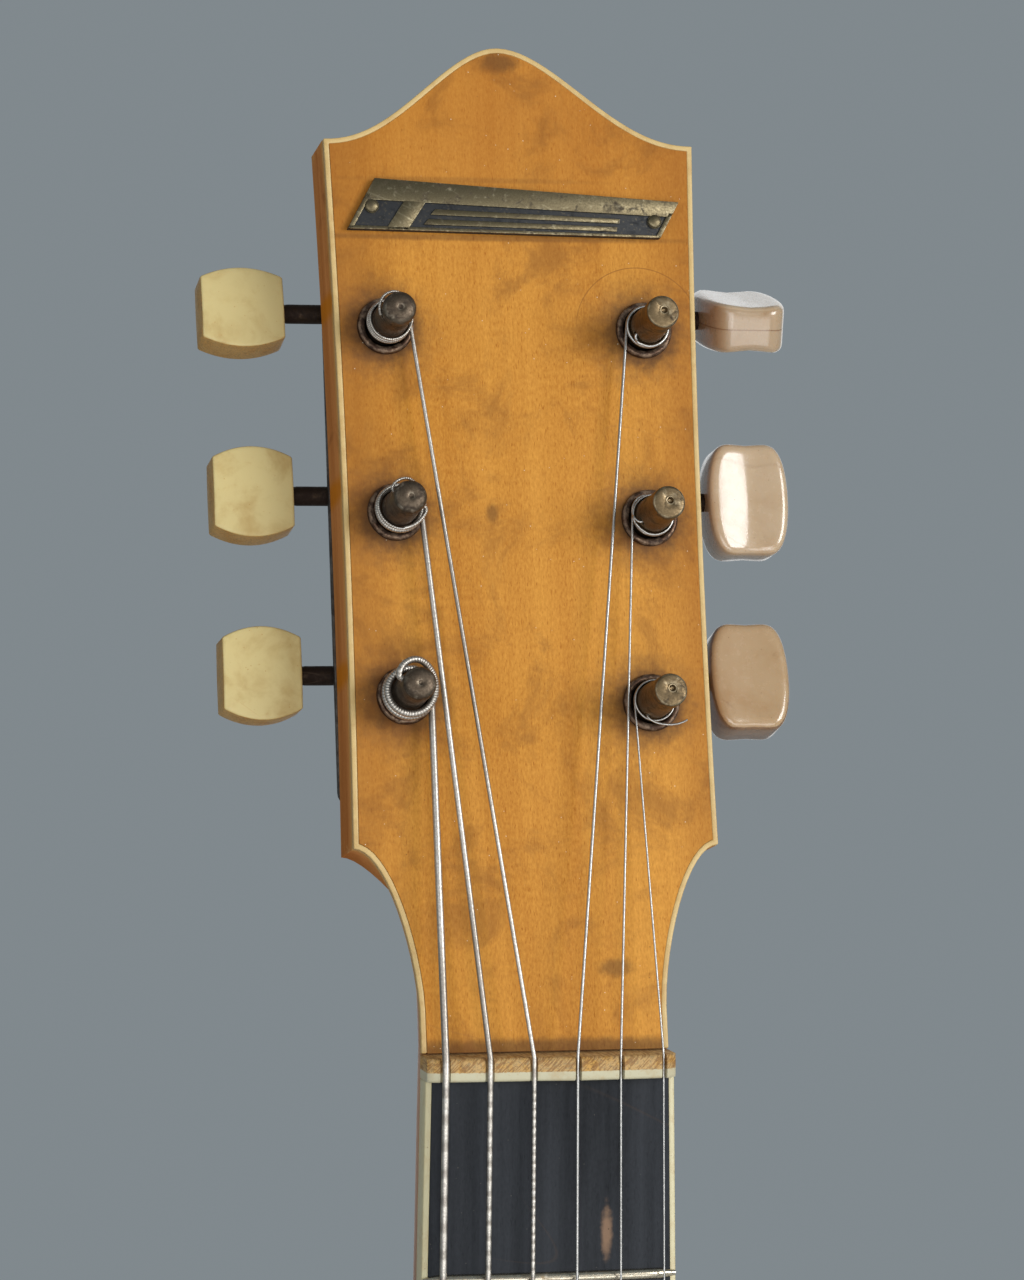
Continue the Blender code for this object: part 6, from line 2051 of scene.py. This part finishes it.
@dataclass
class Fittings:
    """Tailpiece, end pin, and the pickguard with its bracket."""

    bar_z: float = -374
    bar_y: float = -27
    bar_half: float = 38
    end_z: float = -508
    pin_y: float = 43

    def build_bar(self, strings: Strings, leaning: Matrix) -> Thing:
        """Makes the tailpiece's crossbar, bored along each string.

        Args:
            strings: gives the directions of the bores.
            leaning: the tailpiece's frame.

        Returns:
            The bar.
        """
        rings = []
        for share, size in ((1, 0.72), (0.985, 0.93), (0.95, 1), (0.5, 1), (0, 1), (-0.5, 1), (-0.95, 1), (-0.985, 0.93), (-1, 0.72)):
            rings.append([(-self.bar_half * share, y * size, z * size) for y, z in oval(3, 4, 0.55, 28)])
        bar = settle(skin("bar", rings), leaning)
        holes = []
        for string in range(6):
            anchor = Vector((bridge_x(string), self.bar_y, self.bar_z))
            aim = (BODY.inverted() @ strings.saddle_point(string) - anchor).to_track_quat("Z", "Y").to_matrix().to_4x4()
            radius = STRING_DIAMETERS[string] / 2 * 1.55 + 0.35
            holes.append(settle(turned("hole", ((radius, -10), (radius, 10)), 20, "Z"), Matrix.Translation(anchor) @ aim))
        return cut(bar, *holes)

    def build_tailpiece(self, strings: Strings) -> None:
        """A crossbar on two slanted legs, hinged to a bracket that is bent over the body's end.

        Args:
            strings: gives the directions of the strings' holes.
        """
        end_y, end_z = -6, self.end_z - 2.2
        run, fall = self.bar_z - end_z, end_y - self.bar_y
        slope = math.hypot(run, fall)
        leaning = Matrix.Translation((0, self.bar_y, self.bar_z)) @ Matrix.Rotation(math.atan2(fall, run), 4, "X")
        parts = [self.build_bar(strings, leaning)]
        for side in (-1, 1):
            wide, narrow, half = side * 33, side * 12, 3.5
            outline = [(wide - half, 0), (wide + half, 0), (narrow + half, -slope), (narrow - half, -slope)]
            parts.append(settle(soften(slab("leg", outline, -1.5, 1.5), 0.9, 3), leaning))
        plate = [(x, self.end_z + z) for x, z in ((-17, 8.8), (17, 8.8), (17, -2.2), (-17, -2.2))]
        parts.append(soften(slab("knee", plate, end_y - 1.5, end_y + 1.5), 0.7, 3))
        half = [(17, end_y - 1.5), (17, 34), (15.5, 44), (12, 51), (6, 55)]
        face = half + [(0, 56)] + [(-x, y) for x, y in half[::-1]]
        bracket = skin("bracket", [[(x, y, self.end_z + z) for x, y in face] for z in (-0.5, -2.4)])
        hole = settle(turned("pin_hole", ((4.3, -9), (4.3, 9)), 32, "Z"), Matrix.Translation((0, self.pin_y, self.end_z)))
        parts.append(cut(soften(bracket, 0.4, 2), hole))
        show(joined("trapeze_tailpiece", parts), NICKEL, BODY, stands_for=["tailpiece"])
        hinge = turned("tail_hinge", ((0, -16.6), (1.7, -16.6), (2, -16.2), (2, 16.2), (1.7, 16.6), (0, 16.6)), 24, "X")
        show(hinge, NICKEL, BODY @ Matrix.Translation((0, end_y - 0.3, self.end_z + 1.5)))
        screw = turned("tail_screw", ((0, -1.3), (1.4, -1.2), (2.3, -0.7), (2.6, 0), (0, 0)), 24, "Z")
        cut(screw, block("slot", (-4, -0.3, -2), (4, 0.3, -0.75)))
        for number, x in enumerate((-10, 10)):
            place = BODY @ Matrix.Translation((x, 20, self.end_z - 2.4)) @ Matrix.Rotation(0.6 + number, 4, "Z")
            show(twin(screw, f"tail_screw_{number}", place), NICKEL)
        drop(screw)

    def build_pin(self) -> None:
        """A turned peg with a rounded button."""
        profile = ((0, 36), (3.2, 36), (4, 35), (4, -2.72), (8.6, -2.72), (9, -3.2), (8.9, -4.6), (7.4, -5.8), (5.4, -7))
        profile += ((5, -8.6), (5.5, -11), (7.2, -12.6), (8.4, -14.4), (8.5, -15.4), (7.6, -16.4), (4, -16.68), (0, -16.7))
        pin = turned("end_peg", profile, 40, "Z")
        show(pin, BLACK, BODY @ Matrix.Translation((0, self.pin_y, self.end_z)), stands_for=["end_pin"])

    def build_pickguard(self) -> None:
        """A bevelled plate that floats over the top, with its screws and bent rod."""
        corners = ((33, -405), (48, -402), (66, -410), (84, -430), (93, -462), (90, -505), (78, -550), (60, -585), (42, -606))
        outline = [tuple(point) for point in smooth_line(corners, 48)]
        guard = soften(slab("guard_plate", [*outline, (32, -606)], 1, 3.2), 0.5, 2)
        show(guard, BLACK, NECK, stands_for=["pickguard"])
        start = (NECK_IN_BODY @ Vector((0, 3.2, -218 - NECK_LENGTH))).y + 3
        bends = ((62, start), (100, start), (116, start + 3), (121.6, -14), (121.6, 24))
        path = [(Vector((x, y, -218)), 1.6) for x, y in smooth_line(bends, 60)]
        show(tube("guard_rod", path, 16), NICKEL, BODY, stands_for=["pickguard_bracket"], smooth=60)
        screw = turned("guard_screw", ((0, 0.1), (1.3, 0.16), (2.0, 0.5), (2.2, 1.05), (0, 1.05)), 24)
        cut(screw, block("slot", (-4, -0.3, -0.3), (4, 0.45, 0.3)))
        for number, (x, z) in enumerate(((70, -567), (38, -412))):
            show(twin(screw, f"guard_screw_{number}", NECK @ Matrix.Translation((x, 0, z))), NICKEL)
        drop(screw)


@dataclass
class Studio:
    """Camera, lights, background and floor, in metres."""

    swing: float = math.radians(12.58)
    dip: float = math.radians(2.12)
    roll: float = math.radians(0.35)
    distance: float = 0.8
    lens: float = 127.66
    target: Triple = (-0.00775, 0.0, 0.07798)
    floor_z: float = -0.935

    def build_camera(self) -> None:
        """The camera at the photograph's angle."""
        across, deep = math.sin(self.swing), math.cos(self.swing)
        forward = Vector((across * math.cos(self.dip), deep * math.cos(self.dip), -math.sin(self.dip)))
        right = Vector((deep, -across, 0))
        up = right.cross(forward)
        c, s = math.cos(self.roll), math.sin(self.roll)
        place = Matrix((right * c + up * s, up * c - right * s, -forward)).transposed().to_4x4()
        place.translation = Vector(self.target) - forward * self.distance
        neck = NECK.copy()
        neck.translation *= MM
        bpy.ops.object.camera_add()
        camera = bpy.context.object
        camera.name = "photo_camera"
        camera.matrix_world = neck @ place
        camera.data.lens = self.lens
        camera.data.sensor_width = 36
        camera.data.clip_start = 0.01
        bpy.context.scene.camera = camera

    def add_light(self, name: str, at: Triple, aim: Triple, size: float, power: float) -> None:
        """Adds a square soft light, not seen by the camera.

        Args:
            name: its name.
            at: where it hangs.
            aim: what it points at.
            size: its side.
            power: its power in watts.
        """
        bpy.ops.object.light_add(type="AREA", location=at)
        light = bpy.context.object
        light.name = name
        light.data.size = size
        light.data.energy = power
        light.rotation_euler = (Vector(aim) - Vector(at)).to_track_quat("-Z", "Y").to_euler()
        light.visible_camera = False

    def build_floor(self) -> None:
        """A small plain floor."""
        bpy.ops.object.select_all(action="DESELECT")
        bpy.ops.mesh.primitive_plane_add(size=2.4, location=(0, 0, self.floor_z))
        floor = bpy.context.object
        floor.name = "floor"
        made = bpy.data.materials.new("finish_floor")
        made.use_nodes = True
        graph = Graph(made.node_tree)
        shader = made.node_tree.nodes["Principled BSDF"]
        mottle = graph.mix(graph.noise(graph.place(), 0.003, 4), (0.62, 0.62, 0.6), (0.66, 0.66, 0.64))
        graph.feed(shader.inputs["Base Color"], mottle)
        shader.inputs["Roughness"].default_value = 0.8
        floor.data.materials.append(made)

    def build(self) -> None:
        """Everything that isn't the guitar."""
        self.build_camera()
        world = bpy.data.worlds.new("studio")
        world.use_nodes = True
        world.node_tree.nodes["Background"].inputs["Color"].default_value = (0.218, 0.249, 0.268, 1)
        bpy.context.scene.world = world
        bpy.context.scene.view_settings.view_transform = "Standard"
        self.add_light("key", (1.68, -1.87, 0.77), (0, 0, 0), 1.2, 45)
        self.add_light("front", (-0.45, -2.8, 0.0), (0, 0, -0.1), 1.4, 20)
        self.add_light("fill", (-1.7, -1.6, 0.5), (0, 0, -0.2), 1.6, 9)
        self.add_light("body_front", (0.5, -2.6, -0.9), (0, 0, -0.6), 1.4, 15)
        self.add_light("back", (1.0, 2.6, 0.2), (0, 0, -0.4), 2.6, 14)
        self.build_floor()


def dress_solids(nodes: dict[str, Thing]) -> None:
    """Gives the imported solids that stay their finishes.

    Args:
        nodes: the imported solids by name.
    """
    inside = ("neck_block", "end_block", "top_lining", "back_lining", "tone_bar_bass", "tone_bar_treble")
    for name, node in nodes.items():
        if node.hide_render:
            continue
        finish = BARE_SPRUCE if name in inside else RUSTY_STEEL
        node.data.materials.clear()
        node.data.materials.append(finish.material())
        logger.info("solids: %s as %s", name, finish.name)


def main() -> None:
    """Builds the studio and every sub-assembly in order."""
    logging.basicConfig(level=logging.INFO, format="%(message)s", stream=sys.stdout)
    strings, neck, soundbox, fittings = Strings(), NeckShaft(), Soundbox(), Fittings()
    steps: dict[str, tuple[Callable[[], None], ...]] = {
        "studio": (Studio().build,),
        "headstock": (Headstock().build, Badge().build),
        "strings": (strings.build,),
        "tuners": (lambda: Tuners().build([strings.hole(string) for string in range(6)]),),
        "fretboard": (Fretboard().build,),
        "neck": (neck.build_shaft, neck.build_cap),
        "soundbox": (soundbox.build_plates, soundbox.build_rim),
        "bridge": (Bridge(soundbox).build,),
        "fittings": (lambda: fittings.build_tailpiece(strings), fittings.build_pin, fittings.build_pickguard),
    }
    known = {obj.name for obj in bpy.data.objects}
    for part, builders in steps.items():
        for build in builders:
            build()
        for name in sorted({obj.name for obj in bpy.data.objects} - known):
            logger.info("%s: %s", part, name)
            known.add(name)
    dress_solids(frame["nodes"])


if __name__ == "__main__":
    main()
